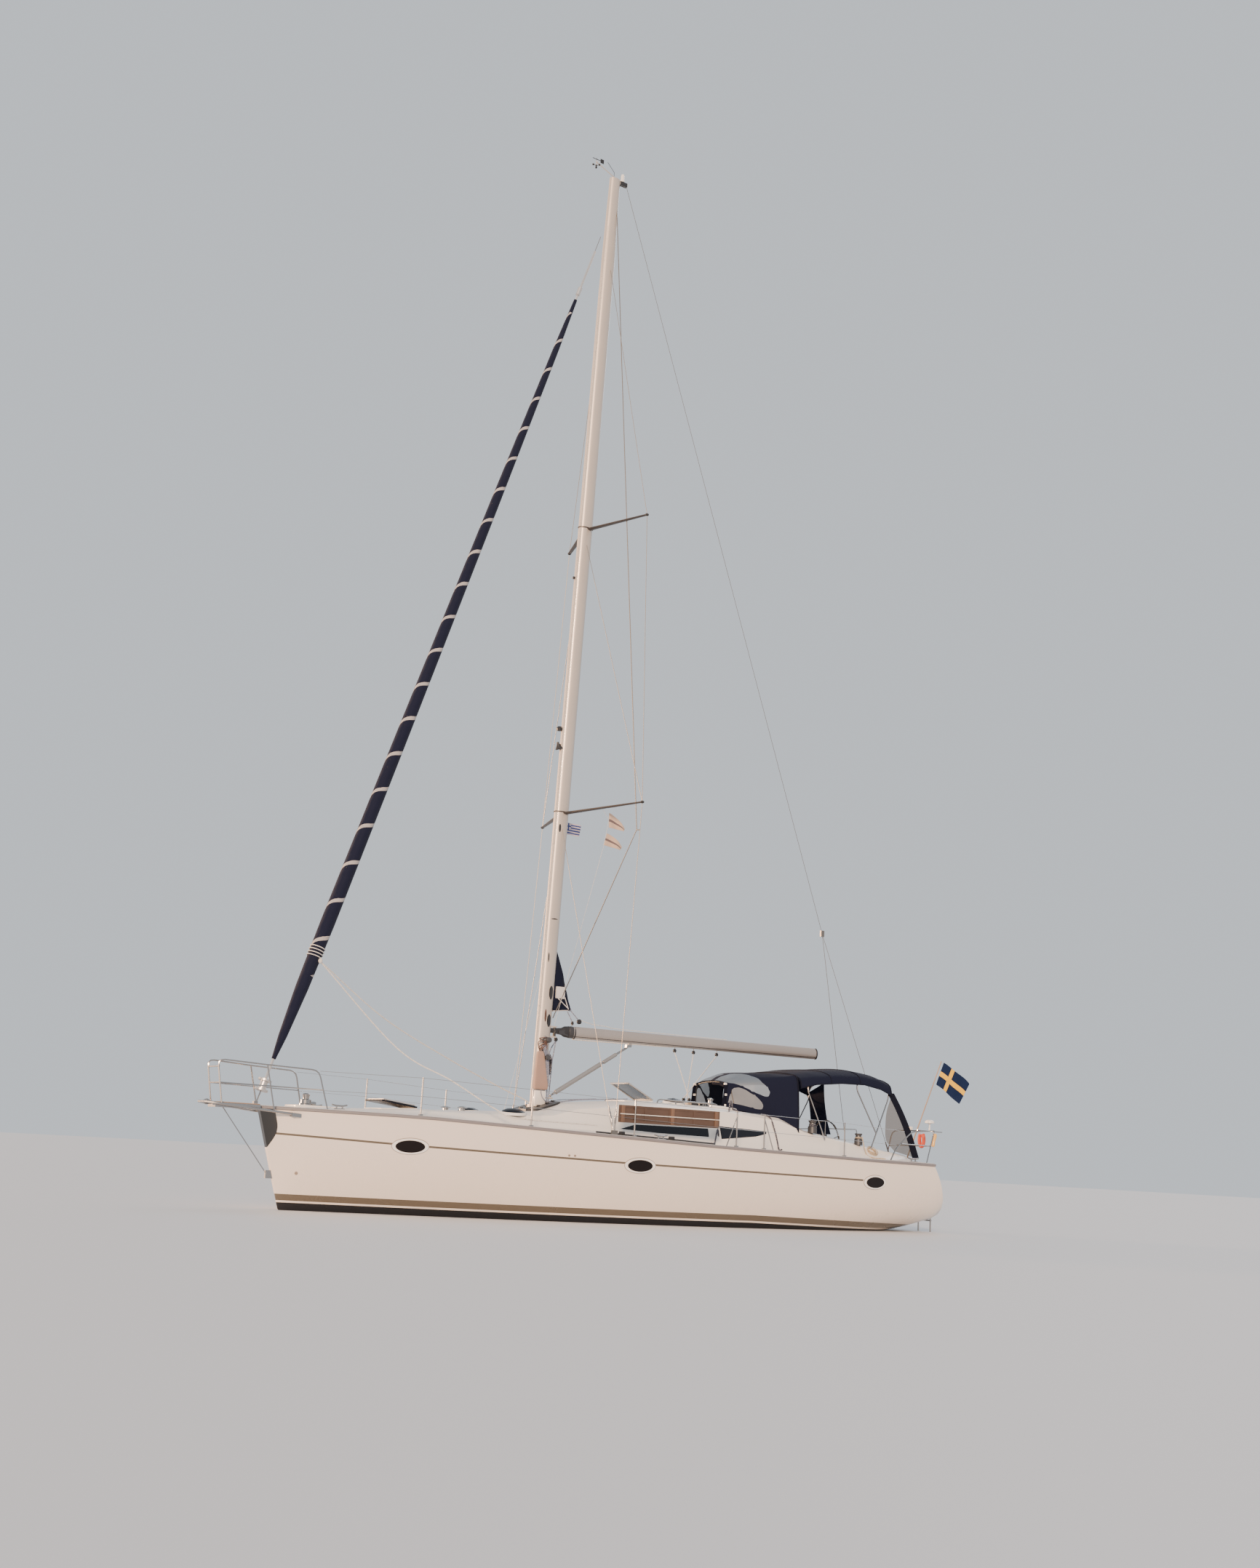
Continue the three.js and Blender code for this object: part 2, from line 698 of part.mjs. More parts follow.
function windVane() {
  const { x, y, z, vaneLow } = WIND;
  const shaft = rod([x, y, vaneLow], [x, y, z + 20], 5, 6);
  const blade = boxBetween([x - 170, y - 3, z - 6], [x + 90, y + 3, z + 6]);
  const tail = boxBetween([x - 170, y - 2, z - 45], [x - 90, y + 2, z + 45]);
  return join(shaft, blade, tail);
}

function windCups() {
  const { x, y, hubTop } = WIND;
  const level = hubTop - 18;
  const cups = [];
  for (let i = 0; i < 3; i += 1) {
    const angle = (2 * Math.PI * i) / 3;
    const tip = [x + 70 * Math.cos(angle), y + 70 * Math.sin(angle), level];
    cups.push(rod([x, y, level], tip, 5, 6), ball(tip, 22, 8));
  }
  return join(rod([x, y, hubTop - 38], [x, y, hubTop], 16, 8), cups);
}

// Each row: height of the root, x, y and z of the port tip
const SPREADERS = {
  lower: { rootZ: 7100, tip: [700, 1700, 7160] },
  upper: { rootZ: 12580, tip: [690, 1350, 12600] },
};

function spreaderBody({ rootZ, tip }, mast) {
  const root = [mastX(rootZ) - 20, 0, rootZ];
  const a = new THREE.Vector3(...root);
  const b = new THREE.Vector3(...tip);
  const span = b.clone().sub(a);
  const bar = new THREE.CylinderGeometry(34, 60, span.length(), 10);
  bar.scale(1, 1, 0.42);
  bar.applyQuaternion(new THREE.Quaternion().setFromUnitVectors(new THREE.Vector3(0, 1, 0), span.normalize()));
  bar.translate(...a.add(b).multiplyScalar(0.5));
  return largest(cut(solid(bar), mast.translate([0, SEAT_GAP, 0])));
}

const BOOM = {
  pivot: [1175, 0, 3183],
  foreX: 830,
  aftX: -4770,
  foreZ: 3205,
  aftZ: 3250,
  height: 215,
  width: 130,
  swivel: 75,
  liftX: 1085,
};

// Swivel that turns on the mast and carries the boom's ears on a level pin
function gooseneckBody() {
  const [x, y, z] = BOOM.pivot;
  const swivel = rod([x, y, z - BOOM.swivel], [x, y, z + BOOM.swivel], 28, 12);
  return swivel.add(boxBetween([BOOM.liftX - 22, -32, z - 26], [x, 32, z + 26]));
}

// Plates on the mast's after face that hold the gooseneck and the vang's foot
function mastBrackets() {
  const [x, , z] = BOOM.pivot;
  const [footX, , footZ] = VANG.foot;
  const face = mastX(z) - MAST.length / 2 + 20;
  return [
    boxBetween([x - 30, -30, z - BOOM.swivel - 26], [face, 30, z - BOOM.swivel - SEAT_GAP]),
    boxBetween([x - 30, -30, z + BOOM.swivel + SEAT_GAP], [face, 30, z + BOOM.swivel + 26]),
    boxBetween([footX - 30, -30, footZ - 60], [mastX(footZ) - MAST.length / 2 + 20, 30, footZ - 36]),
    rod([footX, 0, footZ - 40], [footX, 0, footZ - VANG.ball - SEAT_GAP], 11, 8),
  ];
}

function boomBody() {
  const ring = (x, z, size) => {
    const points = [];
    for (let i = 0; i < 12; i += 1) {
      const angle = (2 * Math.PI * (i + 0.5)) / 12;
      points.push([x, (BOOM.width / 2) * Math.cos(angle) * size, z + (BOOM.height / 2) * Math.sin(angle) * size]);
    }
    return points;
  };
  const beam = loft([
    ring(BOOM.liftX - 150, BOOM.pivot[2] + 12, 0.6),
    ring(BOOM.foreX, BOOM.foreZ, 1),
    ring(BOOM.aftX + 60, BOOM.aftZ, 1),
    ring(BOOM.aftX, BOOM.aftZ, 0.86),
  ]);
  const [, , z] = BOOM.pivot;
  const front = BOOM.liftX + 22;
  const back = BOOM.liftX - 160;
  const ear = platePlan([[front - 44, z - 30], [front, z - 30], [front, z + 30], [back, z + 60], [back, z - 50]], 32.3, 47);
  const web = boxBetween([back - 10, -47, z - 50], [back + 30, 47, z + 60]);
  const eye = boxBetween([VANG.boomEye[0] - 35, -14, VANG.boomEye[2] - 20], [VANG.boomEye[0] + 30, 14, BOOM.foreZ]);
  return join(beam, ear, mirrorY(ear), web, eye);
}

const VANG = {
  foot: [1175, 0, 2081],
  boomEye: [-431, 0, 3068],
  cylinder: 42,
  rod: 20,
  share: 0.62,
  ball: 24,
  tongue: 88,
};

function vangPoint(share) {
  return VANG.foot.map((value, i) => value + (VANG.boomEye[i] - value) * share);
}

// The ball that turns on the mast bracket's pin, with the tongue that the cylinder tilts on
function vangSwivel() {
  const slope = Math.atan2(VANG.boomEye[2] - VANG.foot[2], VANG.foot[0] - VANG.boomEye[0]);
  const tongue = boxBetween([-VANG.tongue, -8, -14], [0, 8, 14]).rotate([0, (slope * 180) / Math.PI, 0]);
  return ball(VANG.foot, VANG.ball, 10).add(tongue.translate(VANG.foot));
}

function vangCylinder() {
  const outer = rod(vangPoint(0.06), vangPoint(VANG.share), VANG.cylinder, 12);
  const bore = rod(vangPoint(0.3), vangPoint(VANG.share + 0.02), VANG.rod + 0.9, 12);
  const slope = Math.atan2(VANG.boomEye[2] - VANG.foot[2], VANG.foot[0] - VANG.boomEye[0]);
  const cheek = boxBetween([-130, 8.4, -16], [-46, 20, 16]).rotate([0, (slope * 180) / Math.PI, 0]);
  return join(cut(outer, bore), cheek.translate(VANG.foot), mirrorY(cheek).translate(VANG.foot));
}

function vangRod() {
  const [x, , z] = VANG.boomEye;
  const cheek = boxBetween([x - 12, 14.4, z - 30], [x + 84, 30, z + 14]);
  const fork = boxBetween([x + 54, -30, z - 46], [x + 84, 30, z + 14]);
  return join(rod(vangPoint(0.36), vangPoint(0.96), VANG.rod, 12), cheek, mirrorY(cheek), fork);
}

// Standing rigging

const CHAINPLATE = [930, 1740, 1460];
const STAY = { shroud: 5, back: 5, fore: 6 };
const SHROUD_BALL = 14;

// The middle of the ball that sits on a spreader's tip
function spreaderEnd({ rootZ, tip }) {
  const root = new THREE.Vector3(mastX(rootZ) - 20, 0, rootZ);
  const end = new THREE.Vector3(...tip);
  return end.clone().addScaledVector(end.clone().sub(root).normalize(), SHROUD_BALL + SEAT_GAP).toArray();
}

function shroudsBody(mast) {
  const lowTip = spreaderEnd(SPREADERS.lower);
  const upTip = spreaderEnd(SPREADERS.upper);
  const [x, y, z] = CHAINPLATE;
  const wire = (from, to) => rod(from, to, STAY.shroud, WIRE_SIDES);
  const wires = join(
    boxBetween([x - 60, y - 14, z - 60], [x + 60, y + 14, z + 60]),
    wire([x, y, z], lowTip),
    wire(lowTip, upTip),
    wire(upTip, [mastX(18100) - 20, 50, 18100]),
    wire([x + 30, y, z], [mastX(6900) + 10, 50, 6900]),
    wire(lowTip, [mastX(12350), 50, 12350]),
    ball(lowTip, SHROUD_BALL, 8),
    ball(upTip, SHROUD_BALL, 8),
  );
  return wires.subtract(mast.translate([0, SEAT_GAP, 0]));
}

const BACKSTAY = { top: [705, 0, 19945], split: [-4850, 0, 5620], foot: [-6180, 640, 1345], screw: 315 };

function backstayBody() {
  const leg = rod(BACKSTAY.split, BACKSTAY.foot, STAY.back, WIRE_SIDES);
  const plate = boxBetween(
    [BACKSTAY.split[0] - 40, -20, BACKSTAY.split[2] - 60],
    [BACKSTAY.split[0] + 40, 20, BACKSTAY.split[2] + 60],
  );
  const low = new THREE.Vector3(...BACKSTAY.foot);
  const run = new THREE.Vector3(...BACKSTAY.split).sub(low).setLength(BACKSTAY.screw);
  const turnbuckle = rod(BACKSTAY.foot, low.add(run).toArray(), 14, 8);
  return join(rod(BACKSTAY.top, BACKSTAY.split, STAY.back, WIRE_SIDES), plate, leg, mirrorY(leg), turnbuckle, mirrorY(turnbuckle));
}

const PLANK = { aftX: 6532, foreX: 7270, half: 165, low: 1526, top: 1596 };

const FORESTAY = { foot: [6545, 0, 1650], head: [1225, 0, 18650] };

function forestayPoint(z) {
  const t = (z - FORESTAY.foot[2]) / (FORESTAY.head[2] - FORESTAY.foot[2]);
  return FORESTAY.foot.map((value, i) => value + (FORESTAY.head[i] - value) * t);
}

function furlerBody() {
  const drum = join(
    rod(forestayPoint(1820), forestayPoint(1850), 110, 14),
    rod(forestayPoint(1840), forestayPoint(1980), 60, 12),
    rod(forestayPoint(1970), forestayPoint(2000), 110, 14),
  );
  const foil = rod(forestayPoint(1990), forestayPoint(18300), 20, 8);
  const swivel = rod(forestayPoint(17250), forestayPoint(17420), 42, 10);
  return join(drum, foil, swivel);
}

// Each row: height, radius of the rolled sail
const ROLL = [[2330, 34], [2700, 70], [3500, 108], [4600, 122], [8000, 112], [12500, 88], [16000, 58], [17130, 32]];

function rollBody() {
  const bore = rod(forestayPoint(2100), forestayPoint(17300), 20.6, 8);
  const rings = ROLL.map(([z, radius]) => {
    const [cx, , cz] = forestayPoint(z);
    const lean = Math.atan2(FORESTAY.foot[0] - FORESTAY.head[0], FORESTAY.head[2] - FORESTAY.foot[2]);
    const points = [];
    for (let i = 0; i < 14; i += 1) {
      const angle = (2 * Math.PI * i) / 14;
      const across = radius * Math.cos(angle);
      points.push([cx + across * Math.cos(lean), radius * Math.sin(angle), cz + across * Math.sin(lean)]);
    }
    return points;
  });
  return loft(rings).subtract(bore);
}

function forestayEnds(mast) {
  const foot = join(
    rod(forestayPoint(1620), forestayPoint(1819.7), 12, 8),
    boxBetween([6536, -34, PLANK.top + SEAT_GAP], [6600, 34, 1655]),
  );
  const head = rod(forestayPoint(18300.5), FORESTAY.head, STAY.fore, WIRE_SIDES);
  return { foot, head: largest(cut(head, mast.translate([SEAT_GAP * 2, 0, 0]))) };
}

// Rails along the deck's edge

const RAIL_TUBE = 12.5;
const WIRE = 3.5;

// A point on the deck's edge, a distance inboard and a height above the edge
function edgePoint(x, inboard, above) {
  return [x, smooth(DECK_BREADTH, x) - inboard, straight(SHEER, x) + DECK.edgeRise + above];
}

const RUB_RAIL = { low: 0.3, high: 52, thick: 26, gap: 0.4 };

// The points of the deck's edge from the port quarter round the bow to the starboard quarter
function edgePath() {
  const port = [];
  for (let k = HULL.stations; k >= 0; k -= 1) port.push(hullSection(stationShare(k)).at(-1));
  return [...port, ...[...port].reverse().map(([x, y, z]) => [x, -y, z])];
}

function railBody() {
  const path = edgePath();
  const rings = path.map(([x, y, z], i) => {
    const [ax, ay] = path[Math.max(i - 1, 0)];
    const [bx, by] = path[Math.min(i + 1, path.length - 1)];
    const length = Math.hypot(bx - ax, by - ay);
    const normal = [-(by - ay) / length, (bx - ax) / length];
    const at = (out, up) => [x + normal[0] * out, y + normal[1] * out, z + up];
    const { low, high, thick, gap } = RUB_RAIL;
    return [at(gap, low), at(gap + thick, low + 8), at(gap + thick, high - 10), at(gap, high)];
  });
  return loft(rings);
}

function pulpitBody(deck, platform) {
  const side = [
    tube([[7200, 238, 1582], [7325, 230, 2255], [6560, 360, 2215], [5740, 470, 2185], [5560, 540, 1560]], RAIL_TUBE, 110),
    rod([6380, 361, 1512], [6560, 360, 2210], RAIL_TUBE),
    tube([[7262, 230, 1900], [6470, 366, 1890], [5650, 505, 1880]], RAIL_TUBE * 0.8, 60),
  ];
  const across = [
    rod([7296, -236, 2145], [7296, 236, 2145], RAIL_TUBE),
    rod([7262, -230, 1900], [7262, 230, 1900], RAIL_TUBE * 0.8),
  ];
  const rails = join(side, side.map(mirrorY), across);
  return largest(cut(seated(rails, deck), platform, platform.translate([0, 0, SEAT_GAP])));
}

// Each row: x of the stanchion
const STANCHIONS = [4190, 2420, 600, -1410, -2000, -3850];
const STANCHION_HEIGHT = 600;
const LIFELINES = [300, 590];
const GATE_POSTS = [-1410, -2000];

function guardrailBody() {
  const posts = STANCHIONS.map((x) => {
    const [px, py, pz] = edgePoint(x, 60, 0);
    const base = boxBetween([px - 30, py - 25, pz - 30], [px + 30, py + 25, pz + 22]);
    return rod([px, py, pz - 10], [px, py, pz + STANCHION_HEIGHT], RAIL_TUBE).add(base);
  });
  const braces = GATE_POSTS.map((x, i) => {
    const reach = i === 0 ? 210 : -210;
    const low = edgePoint(x + reach, 60, -20);
    const high = edgePoint(x, 60, STANCHION_HEIGHT * 0.86);
    return rod(low, high, RAIL_TUBE * 0.8);
  });
  const lines = LIFELINES.map((above) => {
    const fore = above > 400 ? [5722, 484, 2172] : [5640, 520, 1872];
    const aft = edgePoint(above > 400 ? -5420 : -5200, 60, above > 400 ? 545 : 285);
    const stops = [fore, ...STANCHIONS.map((x) => edgePoint(x, 60, above)), aft];
    return stops.slice(1).map((stop, i) => rod(stops[i], stop, WIRE, WIRE_SIDES));
  });
  return join(posts, braces, lines.flat());
}

function pushpitBody() {
  const foot = (x, inboard) => edgePoint(x, inboard, -30);
  return join(
    tube([
      foot(-5030, 60), [-5180, smooth(DECK_BREADTH, -5180) - 60, 1500], [-5640, 1815, 1835],
      [-6380, 1660, 1890], [-6560, 1340, 1890], [-6470, 900, 1885], [-6330, 520, 1880], [-6190, 500, 1290],
    ], RAIL_TUBE, 120),
    rod(foot(-6080, 80), [-6330, 1690, 1885], RAIL_TUBE),
    tube([[-5330, 1885, 1600], [-6200, 1745, 1600], [-6470, 1340, 1600], [-6260, 512, 1600]], RAIL_TUBE * 0.8, 120),
  );
}

// Each row: x, y and z along the port tube of the bow platform
const SPRIT_SIDE = [[6000, 432, 1474], [6550, 330, 1522], [7250, 232, 1583], [7440, 130, 1600]];
const BOWSPRIT = { tube: 20, rungX: [6600, 6930, 7250], rollerX: 7360, bobstayX: 7121, chinX: 6262, chinZ: 553 };

function bowspritBody(hull, deck, rail) {
  const { tube: radius, rungX, rollerX, bobstayX, chinX, chinZ } = BOWSPRIT;
  const side = tube(SPRIT_SIDE, radius, 80);
  const [noseX, noseY, noseZ] = SPRIT_SIDE.at(-1);
  const across = (x, r, reach = 1) => rod(
    [x, -straight(SPRIT_SIDE, x) * reach, straight(SPRIT_SIDE, x, 2)],
    [x, straight(SPRIT_SIDE, x) * reach, straight(SPRIT_SIDE, x, 2)], r,
  );
  const nose = rod([noseX - 6, -noseY - 8, noseZ], [noseX - 6, noseY + 8, noseZ], radius);
  const plank = boxBetween([PLANK.aftX, -PLANK.half, PLANK.low], [PLANK.foreX, PLANK.half, PLANK.top]);
  const pad = platePlan([[5960, 1436], [6110, 1448], [6110, 1505], [5960, 1492]], 330, 446);
  const roller = rod([rollerX, -30, noseZ], [rollerX, 30, noseZ], 46, 12);
  const cheeks = boxBetween([rollerX - 140, -36, noseZ - 12], [noseX, 36, noseZ + 12]);
  const bobstay = rod([bobstayX, 0, straight(SPRIT_SIDE, bobstayX, 2)], [chinX + 14, 0, chinZ], 9);
  const chin = boxBetween([chinX - 90, -24, chinZ - 75], [chinX + 30, 24, chinZ + 50]);
  const frame = join(
    side, mirrorY(side), nose, rungX.map((x) => across(x, 16)), across(bobstayX, 16), plank, pad, mirrorY(pad),
    roller, cheeks, bobstay, chin,
  );
  const sideways = [[0, SEAT_GAP, 0], [0, -SEAT_GAP, 0], [SEAT_GAP, 0, 0]];
  return largest(cut(frame, sideways.map((move) => hull.translate(move)), deck, rail));
}

// Helm

function pedestalBody(side) {
  const y = side * HELM.wheelY;
  const column = [
    [HELM.wheelX + 110, COCKPIT.soleZ + SEAT_GAP], [HELM.wheelX + 330, COCKPIT.soleZ + SEAT_GAP],
    [HELM.wheelX + 290, HELM.pedestalTopZ], [HELM.wheelX + 130, HELM.pedestalTopZ],
    [HELM.wheelX + 60, HELM.wheelZ + 60], [HELM.wheelX + 60, HELM.wheelZ - 60],
  ];
  return platePlan(column, y - 95, y + 95);
}

function wheelBody(side) {
  const ring = new THREE.TorusGeometry(HELM.wheelRadius, HELM.rim, 6, 32);
  ring.rotateY(Math.PI / 2);
  const spokes = [];
  for (let i = 0; i < 5; i += 1) {
    const angle = (2 * Math.PI * i) / 5;
    spokes.push(rod([0, 0, 0], [0, HELM.wheelRadius * Math.sin(angle), HELM.wheelRadius * Math.cos(angle)], 7, 6));
  }
  const hub = rod([-22, 0, 0], [42, 0, 0], 34, 12);
  return join(solid(ring), spokes, hub).translate([HELM.wheelX + 60 - 42 - SEAT_GAP, side * HELM.wheelY, HELM.wheelZ]);
}

const WINCHES = [
  { name: 'winch_aft', x: -4880, y: 1190, radius: 78, height: 150 },
  { name: 'winch_fore', x: -3760, y: 1190, radius: 84, height: 165 },
];

function winchBody({ x, y, radius, height }, side, deck) {
  const z = straight(ROOF, x) - 70;
  const profile = [[0, 0], [radius, 0], [radius, 110], [radius * 0.72, 130], [radius * 0.66, height * 0.75 + 60],
    [radius * 0.9, height + 45], [radius * 0.9, height + 62], [0, height + 62]];
  const drum = new THREE.LatheGeometry(profile.map((p) => new THREE.Vector2(...p)), 16);
  drum.rotateX(Math.PI / 2);
  return largest(seated(solid(drum).translate([x, side * y, z]), deck));
}

// Canopies over the cockpit

// Each row: x, half breadth, height of the foot, of the shoulder and of the crown
const HOOD = [
  [-2270, 500, 2040, 2490, 2560],
  [-2450, 640, 2030, 2540, 2660],
  [-2700, 820, 2000, 2580, 2745],
  [-3000, 1005, 1900, 2610, 2770],
  [-3280, 1140, 1780, 2650, 2780],
  [-3440, 1210, 1700, 2680, 2795],
];
// Each row: x, half breadth, height of the edge, of the shoulder and of the crown
const BIMINI = [
  [-3440.5, 1210, 2500, 2680, 2795],
  [-3800, 1240, 2590, 2750, 2860],
  [-4400, 1250, 2650, 2810, 2930],
  [-4950, 1255, 2660, 2830, 2970],
  [-5350, 1255, 2600, 2790, 2930],
  [-5655, 1240, 2500, 2700, 2850],
];
const CLOTH = 22;

function archRing([x, half, foot, shoulder, crown], inset) {
  const h = half - inset;
  const low = inset ? foot - 200 : foot;
  const arc = [
    [h, low], [h * 0.985, (foot + shoulder) / 2], [h * 0.93, shoulder - inset * 0.8],
    [h * 0.72, shoulder + (crown - shoulder) * 0.62 - inset], [h * 0.38, shoulder + (crown - shoulder) * 0.93 - inset],
    [0, crown - inset],
  ];
  return [[x, 0, low], ...arc.map(([y, z]) => [x, y, z])];
}

function archShell(rows) {
  const outer = halfLoft(rows.map((row) => archRing(row, 0)));
  const longer = rows.map((row, i) => {
    if (i === 0) return [row[0] + 50, ...row.slice(1)];
    if (i === rows.length - 1) return [row[0] - 50, ...row.slice(1)];
    return row;
  });
  return outer.subtract(halfLoft(longer.map((row) => archRing(row, CLOTH))));
}

function hoodBody(deck) {
  const window = platePlan([[-2330, 2170], [-2390, 2400], [-2480, 2440], [-2860, 2220], [-2870, 2130], [-2600, 2120]], 400, 1300);
  return largest(seated(cut(archShell(HOOD), window, mirrorY(window)), deck));
}

// The port leg of each bow, up to the canopy's edge
const BOWS = {
  aft: [[-5130, 1265, 1500], [-5600, 1190, 2430]],
  aftStay: [[-5270, 1243, 1777], [-4800, 1205, 2560]],
  fore: [[-4000, 1270, 1600], [-3640, 1185, 2460]],
};

// A bow's leg, then the inside of the canopy to the middle
function bowBody(leg, canopy, deck) {
  const x = leg.at(-1)[0] - 15;
  const row = [x, ...[1, 2, 3, 4].map((column) => straight(BIMINI, x, column))];
  const arch = archRing(row, CLOTH + RAIL_TUBE - 2).slice(2, -1);
  const half = [...leg, ...arch];
  const full = [...half, ...[...half].reverse().map(([px, py, pz]) => [px, -py, pz])];
  return largest(cut(seated(tube(full, RAIL_TUBE, 60), deck), canopy, canopy.translate([0, 0, -SEAT_GAP])));
}

function flagstaffBody(deck) {
  return seated(rod([-6150, 1130, 1330], [-6960, 1200, 3250], 14, 8, 10), deck);
}

// The boarding plank stands on its edge inside the port guardrail, lashed to a stanchion
const GANGPLANK = { foreX: 880, foreY: 1788, aftX: -1080, aftY: 1944, lowZ: 1660, highZ: 1945, thick: 36, lashX: 600 };

function gangplankBody() {
  const { foreX, foreY, aftX, aftY, lowZ, highZ, thick, lashX } = GANGPLANK;
  const length = Math.hypot(foreX - aftX, foreY - aftY);
  const rails = [lowZ, highZ - 34].map((z) => boxBetween([-length, -thick, z], [0, 0, z + 34]));
  const board = boxBetween([-length + 10, -thick * 0.75, lowZ + 10], [-10, -thick * 0.25, highZ - 10]);
  const battens = [0, 0.25, 0.5, 0.75, 1].map((t) => {
    const x = -length + (length - 44) * t;
    return boxBetween([x, -thick, lowZ], [x + 44, 0, highZ]);
  });
  const turn = (Math.atan2(foreY - aftY, foreX - aftX) * 180) / Math.PI;
  const plank = join(rails, board, battens).rotate([0, 0, turn]).translate([foreX, foreY, 0]);
  const post = edgePoint(lashX, 60, 0)[1] - RAIL_TUBE - SEAT_GAP;
  const lashings = [1720, 1890].map((z) => boxBetween([lashX - 12, post - 40, z], [lashX + 12, post, z + 12]));
  return plank.add(join(lashings));
}

// The bathing ladder hangs in the water from two lugs on the port side of the stern
const LADDER = { x: -6820, y: 930, hingeZ: 430, footZ: -420, halfWidth: 165, pin: 12, lug: 28, lugGap: 24 };

function ladderBody() {
  const { x, y, hingeZ, footZ, halfWidth, pin, lugGap } = LADDER;
  const legs = [1, -1].map((s) => rod([x, y + s * halfWidth, footZ], [x, y + s * halfWidth, hingeZ], 14));
  const reach = halfWidth + lugGap - SEAT_GAP;
  const axle = rod([x, y - reach, hingeZ], [x, y + reach, hingeZ], pin);
  const treads = [0.2, 0.5, 0.8].map((t) => {
    const z = THREE.MathUtils.lerp(footZ, hingeZ, t) - 60;
    return boxBetween([x - 30, y - halfWidth, z], [x + 12, y + halfWidth, z + 24]);
  });
  return join(legs, axle, treads);
}

function ladderLugs() {
  const { x, y, hingeZ, halfWidth, lug, lugGap } = LADDER;
  return [1, -1].map((s) => {
    const inner = y + s * (halfWidth + lugGap);
    const outer = inner + s * lug;
    return boxBetween([x - 22, Math.min(inner, outer), hingeZ - 24], [x + 180, Math.max(inner, outer), hingeZ + 24]);
  });
}

function travellerBody(deck) {
  const track = boxBetween([-1755, -560, 2060], [-1715, 560, 2130]);
  return largest(seated(track, deck));
}

// Finishes: colour, roughness, metalness

const FINISH = {
  gelcoat: [0xe9e2d8, 0.25, 0],
  rubbing: [0x8d8a86, 0.6, 0],
  antifoul: [0x1b1d26, 0.7, 0],
  castMetal: [0x4a4d52, 0.6, 0.6],
  bronze: [0x9a7b45, 0.35, 1],
  enginePaint: [0x7f8a86, 0.5, 0.3],
  timber: [0x7a5533, 0.55, 0],
  glazing: [0x14161a, 0.08, 0],
  stainless: [0xc9ccd0, 0.18, 1],
  alloy: [0xc8c6c2, 0.35, 0.8],
  darkAlloy: [0x2c2e31, 0.45, 0.5],
  navyCloth: [0x14192e, 0.9, 0],
};

const yacht = new THREE.Group();

function add(name, body, finish) {
  const [color, roughness, metalness] = FINISH[finish];
  const mesh = new THREE.Mesh(geometryOf(body), new THREE.MeshStandardMaterial({ color, roughness, metalness }));
  mesh.name = name;
  yacht.add(mesh);
}

const wholeHull = hullBody();
const stemGap = boxBetween([GATE.stepX - 800, -GATE.halfBreadth, GATE.platformZ], [GATE.stepX, GATE.halfBreadth, 2000]);
const gateway = boxBetween(
  [GATE.stepX - 10, -GATE.halfBreadth, COCKPIT.soleZ],
  [COCKPIT.aftX + 70, GATE.halfBreadth, 2000],
);
const rudderHole = rod([RUDDER.stockX, 0, -900], [RUDDER.stockX, 0, RUDDER.stockTop + 5], RUDDER.hole, RUDDER.sides);
const cabinWell = boxBetween([CABIN.aftX, -CABIN.halfBreadth, CABIN.soleZ], [CABIN.foreX, CABIN.halfBreadth, 3000])
  .intersect(wholeHull.scale([1, 0.93, 1]).translate([0, 0, 110]));
const hull = largest(cut(
  wholeHull.add(join(ladderLugs())), cabinWell, boxBetween(ENGINE_BAY.low, ENGINE_BAY.high), tubBlock(0), stemGap, gateway, rudderHole,
));
const hullClear = [[0, 0, 0], [0, 0, SEAT_GAP], [SEAT_GAP, 0, 0], [-SEAT_GAP, 0, 0]].map((move) => hull.translate(move));
const deck = largest(cut(deckBody(), hullClear, stemGap));
const mast = mastBody(deck);

add('hull', hull, 'gelcoat');
add('deck', deck, 'gelcoat');
add('rub_rail', railBody(), 'rubbing');
add('keel', keelBody(hull), 'castMetal');
add('rudder', rudderBody(), 'antifoul');
add('saildrive', driveBody(hull), 'enginePaint');
add('propeller', propellerBody(), 'bronze');
add('engine', boxBetween([ENGINE.low[0], ENGINE.low[1], ENGINE_BAY.low[2] + SEAT_GAP], ENGINE.high), 'enginePaint');
add('saloon_joinery', largest(cut(
  joineryBody(), hull.translate([0, SEAT_GAP, 0]), hull.translate([0, -SEAT_GAP, 0]), hull.translate([0, 0, SEAT_GAP]),
)), 'timber');
add('companionway_steps', stepsBody(), 'timber');

for (const [place, outline] of Object.entries(WINDOWS)) {
  const pane = windowTool(outline, PANE_SHARE).intersect(
    halfLoft(DECK_STATIONS.map((x) => deckSection(x))),
  ).subtract(halfLoft(DECK_STATIONS.map((x) => deckSection(x, 14, 0))));
  add(`window_port_${place}`, largest(pane), 'glazing');
  add(`window_stbd_${place}`, largest(mirrorY(pane)), 'glazing');
}

add('main_hatch_lid', hatchLid(HATCHES.main), 'alloy');
add('fore_hatch_lid', hatchLid(HATCHES.fore), 'alloy');
add('mast', mast, 'alloy');
add('spreader_lower_port', spreaderBody(SPREADERS.lower, mast), 'alloy');
add('spreader_lower_stbd', mirrorY(spreaderBody(SPREADERS.lower, mast)), 'alloy');
add('spreader_upper_port', spreaderBody(SPREADERS.upper, mast), 'alloy');
add('spreader_upper_stbd', mirrorY(spreaderBody(SPREADERS.upper, mast)), 'alloy');
add('wind_vane', windVane(), 'darkAlloy');
add('wind_cups', windCups(), 'darkAlloy');
add('gooseneck', gooseneckBody(), 'darkAlloy');
add('boom', boomBody(), 'alloy');
add('vang_swivel', vangSwivel(), 'stainless');
add('vang_cylinder', vangCylinder(), 'alloy');
add('vang_rod', vangRod(), 'stainless');
